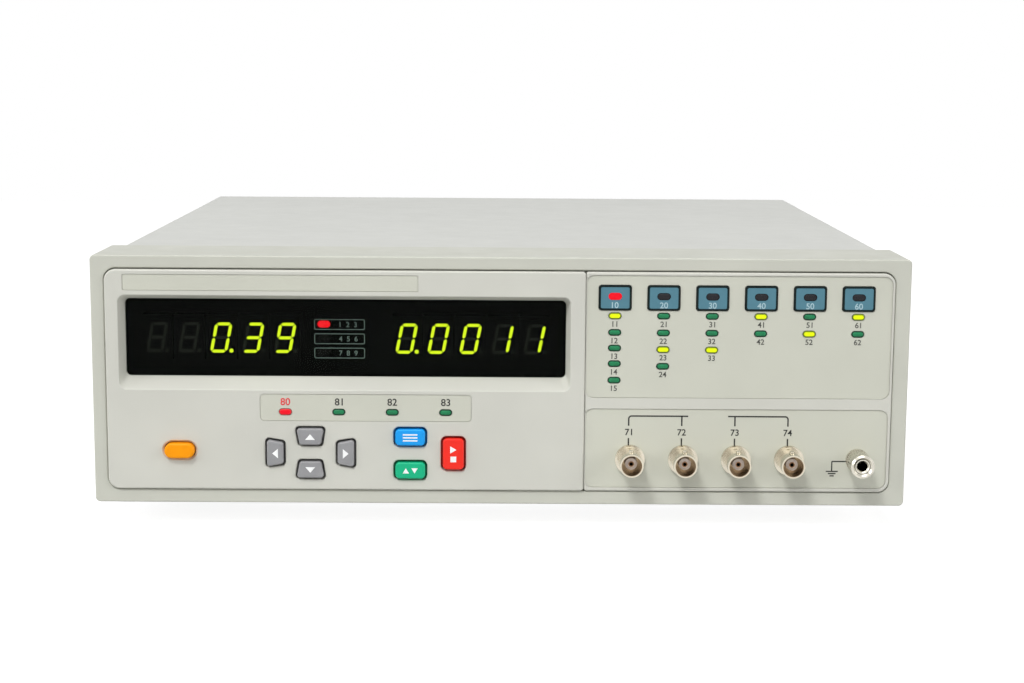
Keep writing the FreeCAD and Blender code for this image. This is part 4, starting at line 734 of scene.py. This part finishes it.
def unit_lamps():
    front = front_of("unit_lights")
    window_back = -(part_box("display_window")[1].y - ORIGIN.y) / MM
    left, right, height = UNIT_FRAME
    marks, numbers = [], []
    for z, text in zip(UNIT_Z, UNIT_TEXT):
        area = (left, right, z - height / 2, z + height / 2)
        frame_line = ring(area, UNIT_FRAME_CORNER, UNIT_FRAME_LINE)
        marks.append(plate(frame_line, window_back - INK, window_back))
        numbers.append(label(text, UNIT_TEXT_X, z, UNIT_TEXT_HEIGHT, window_back - INK))
    lenses = [lamp_lens(UNIT_X, z, front, 0, UNIT_LENS) for z in UNIT_Z]
    piece("unit_lens_lit", lenses[:1], "lit_unit", smooth=True)
    piece("unit_lenses_dark", lenses[1:], "unit_lens", smooth=True)
    piece("unit_frames", marks, "ink_dim")
    piece("unit_numbers", numbers, "ink_dim")


def segment(letter, x):
    """Outline of one bar of a digit about x, with pointed ends."""
    half = STROKE / 2
    reach = Vector(((DIGIT_WIDTH - STROKE) / 2, (DIGIT_HEIGHT - STROKE) / 2))
    start, end = [Vector(corner) * reach for corner in SEGMENT_ENDS[letter]]
    along = (end - start).normalized()
    side = Vector((-along.y, along.x)) * half
    tip = along * STROKE_GAP
    shoulder = along * (STROKE_GAP + half)
    points = [
        start + tip, start + shoulder + side, end - shoulder + side,
        end - tip, end - shoulder - side, start + shoulder - side,
    ]
    return [(x + point.x + SLANT * point.y, DIGIT_Z + point.y) for point in points]


def digits():
    front = front_of("digit_modules")
    lit, dark = [], []
    for middle, figures, point_at in zip(DIGIT_GROUPS, READING, POINT_AT):
        for i, figure in enumerate(figures):
            x = middle + DIGIT_PITCH * (i - (len(figures) - 1) / 2)
            for letter in SEGMENT_ENDS:
                group = lit if letter in SEGMENTS_OF[figure] else dark
                group.append(plate([segment(letter, x)], front, front + INK))
            group = lit if i == point_at else dark
            step_x, step_z = POINT_STEP
            dot = disc(x + step_x, DIGIT_Z + step_z, POINT_RADIUS)
            group.append(plate([dot], front, front + INK))
    piece("digit_segments_lit", lit, "lit_segment")
    piece("digit_segments_dark", dark, "segment")


def flat_keys():
    for i, name in enumerate(FLAT_KEYS):
        x, z = middle_of(name)
        front = front_of(name)
        lamp_z = z + FLAT_LAMP_RISE
        cap = about(x, z, *FLAT_CAP)
        face = rounded(grown(cap, -FLAT_BORDER), FLAT_CORNER)
        hole = stadium(x, lamp_z, *FLAT_LAMP)
        stem = name.removesuffix("_key")
        piece(f"{stem}_face", [plate([face, hole], front, front + INK)], "teal", name)
        floor = front - FLAT_LAMP_DEPTH
        glass = lens(x, lamp_z, FLAT_LAMP[0] - INK, FLAT_LAMP[1] - INK, floor, front)
        finish = "lit_red" if name == LIT_KEY else "dark_lens"
        piece(f"{stem}_lens", [glass], finish, name, smooth=True)
        number = label(f"{i + 1}0", x, z - FLAT_NUMBER_DROP, FLAT_NUMBER_HEIGHT, front + INK)
        piece(f"{stem}_number", [number], "ink_pale", name)


def triangle(x, z, width, height, turn):
    """Triangle that points up, turned to the left by the given angle."""
    corners = ((-width / 2, -height / 2), (width / 2, -height / 2), (0, height / 2))
    c, s = math.cos(math.radians(turn)), math.sin(math.radians(turn))
    return [(x + c * a - s * b, z + s * a + c * b) for a, b in corners]


def key_marks():
    for name, turn in ARROW_TURNS.items():
        x, z = middle_of(name)
        front = front_of(name)
        mark = plate([triangle(x, z, *ARROW_MARK, turn)], front, front + INK)
        piece(f"{name}_mark", [mark], "ink_white", name)
    x, z = middle_of("function_key")
    length, width = FUNCTION_BAR
    bars = [bar(x - length / 2, x + length / 2, z + FUNCTION_BAR_STEP * i, width) for i in (-1, 0, 1)]
    x, z = middle_of("limit_key")
    limits = [
        triangle(x - LIMIT_MARK_STEP, z, *LIMIT_MARK, 0), triangle(x + LIMIT_MARK_STEP, z, *LIMIT_MARK, 180)
    ]
    x, z = middle_of("start_key")
    play = triangle(x, z + START_MARK_RISE, *START_MARK, 270)
    stop = bar(x - STOP_MARK / 2, x + STOP_MARK / 2, z - STOP_MARK_DROP, STOP_MARK)
    for name, marks in (("function_key", bars), ("limit_key", limits), ("start_key", [play, stop])):
        front = front_of(name)
        piece(f"{name}_mark", [plate(marks, front, front + INK)], "ink_white", name)


def terminal_marks():
    film = front_of("terminal_film")
    lines = [upright(x, *TICK_Z, LINE) for x in TICK_X]
    for outer, inner, end in ((0, 1, 0), (3, 2, 1)):
        foot = (TICK_X[outer], BRACKET_FOOT)
        corner = (TICK_X[outer], BRACKET_TOP)
        path = bent(foot, corner, (BRACKET_ENDS[end], BRACKET_TOP), BRACKET_BEND)
        lines.append(stroked(path, LINE))
        lines.append(upright(TICK_X[inner], BRACKET_FOOT, BRACKET_TOP - LINE / 2, LINE))
    lines.append(stroked(bent(*EARTH_LINE, EARTH_BEND), EARTH_BAR))
    lines += [bar(*spec, EARTH_BAR) for spec in EARTH_BARS]
    labels = [
        label(text, x, JACK_LABEL_Z, JACK_LABEL_HEIGHT, film) for text, x in zip(JACK_LABELS, TICK_X)
    ]
    piece("terminal_lines", [plate([line], film, film + INK) for line in lines], "ink_black")
    piece("terminal_numbers", labels, "ink_black")


indicator_lamps()
sort_lamps()
unit_lamps()
digits()
flat_keys()
key_marks()
terminal_marks()


# Floor, light and camera

def seen_directly(tree):
    """1 for rays that come from the camera, a reflection or a clear surface."""
    rays = tree.nodes.new("ShaderNodeLightPath")
    total = rays.outputs["Is Camera Ray"]
    for kind in ("Is Glossy Ray", "Is Transmission Ray"):
        node = tree.nodes.new("ShaderNodeMath")
        node.operation = "MAXIMUM"
        tree.links.new(total, node.inputs[0])
        tree.links.new(rays.outputs[kind], node.inputs[1])
        total = node.outputs["Value"]
    return total


def make_floor():
    material, tree, shader = new_material("white_floor")
    tree.nodes.remove(shader)
    bounce = tree.nodes.new("ShaderNodeBsdfDiffuse")
    bounce.inputs["Color"].default_value = FLOOR_BOUNCE
    shadow = tree.nodes.new("ShaderNodeBsdfDiffuse")
    shadow.inputs["Color"].default_value = FLOOR_TINT
    glow = tree.nodes.new("ShaderNodeEmission")
    glow.inputs["Strength"].default_value = FLOOR_GLOW
    shown = tree.nodes.new("ShaderNodeAddShader")
    tree.links.new(glow.outputs["Emission"], shown.inputs[0])
    tree.links.new(shadow.outputs["BSDF"], shown.inputs[1])
    mix = tree.nodes.new("ShaderNodeMixShader")
    tree.links.new(seen_directly(tree), mix.inputs["Fac"])
    tree.links.new(bounce.outputs["BSDF"], mix.inputs[1])
    tree.links.new(shown.outputs["Shader"], mix.inputs[2])
    tree.links.new(mix.outputs["Shader"], tree.nodes["Material Output"].inputs["Surface"])
    mesh = bpy.data.meshes.new("floor")
    half = FLOOR_SIZE / 2
    corners = [(-half, -half, 0), (half, -half, 0), (half, half, 0), (-half, half, 0)]
    mesh.from_pydata(corners, [], [(0, 1, 2, 3)])
    mesh.materials.append(material)
    floor = bpy.data.objects.new("floor", mesh)
    bpy.context.scene.collection.objects.link(floor)


def make_world():
    world = bpy.data.worlds.new("studio")
    world.use_nodes = True
    tree = world.node_tree
    soft = tree.nodes["Background"]
    soft.inputs["Color"].default_value = WHITE
    soft.inputs["Strength"].default_value = AMBIENT
    white = tree.nodes.new("ShaderNodeBackground")
    white.inputs["Color"].default_value = WHITE
    white.inputs["Strength"].default_value = 1.0
    mix = tree.nodes.new("ShaderNodeMixShader")
    tree.links.new(seen_directly(tree), mix.inputs["Fac"])
    tree.links.new(soft.outputs["Background"], mix.inputs[1])
    tree.links.new(white.outputs["Background"], mix.inputs[2])
    tree.links.new(mix.outputs["Shader"], tree.nodes["World Output"].inputs["Surface"])
    bpy.context.scene.world = world


def make_light(name, place, size, power):
    data = bpy.data.lights.new(name, "AREA")
    data.shape = "DISK"
    data.size = size
    data.energy = power
    light = bpy.data.objects.new(name, data)
    light.location = place
    aim = Vector(LIGHT_AIM) - Vector(place)
    light.rotation_euler = aim.to_track_quat("-Z", "Y").to_euler()
    bpy.context.scene.collection.objects.link(light)


def make_camera():
    yaw, pitch, roll = (math.radians(a) for a in (CAMERA_YAW, CAMERA_PITCH, CAMERA_ROLL))
    forward = Vector((
        math.sin(yaw) * math.cos(pitch), math.cos(yaw) * math.cos(pitch), -math.sin(pitch)
    ))
    right = Vector((math.cos(yaw), -math.sin(yaw), 0))
    up = right.cross(forward)
    tilted_right = right * math.cos(roll) + up * math.sin(roll)
    tilted_up = up * math.cos(roll) - right * math.sin(roll)
    turn = Matrix((tilted_right, tilted_up, -forward)).transposed().to_4x4()
    data = bpy.data.cameras.new("camera")
    data.lens = LENS_MM
    data.sensor_width = SENSOR_MM
    data.sensor_fit = "HORIZONTAL"
    camera = bpy.data.objects.new("camera", data)
    camera.matrix_world = Matrix.Translation(ORIGIN + Vector(CAMERA_PLACE) * MM) @ turn
    bpy.context.scene.collection.objects.link(camera)
    bpy.context.scene.camera = camera


make_floor()
make_world()
for light_name, light in LIGHTS.items():
    make_light(light_name, **light)
make_camera()
bpy.context.scene.view_settings.view_transform = "Standard"
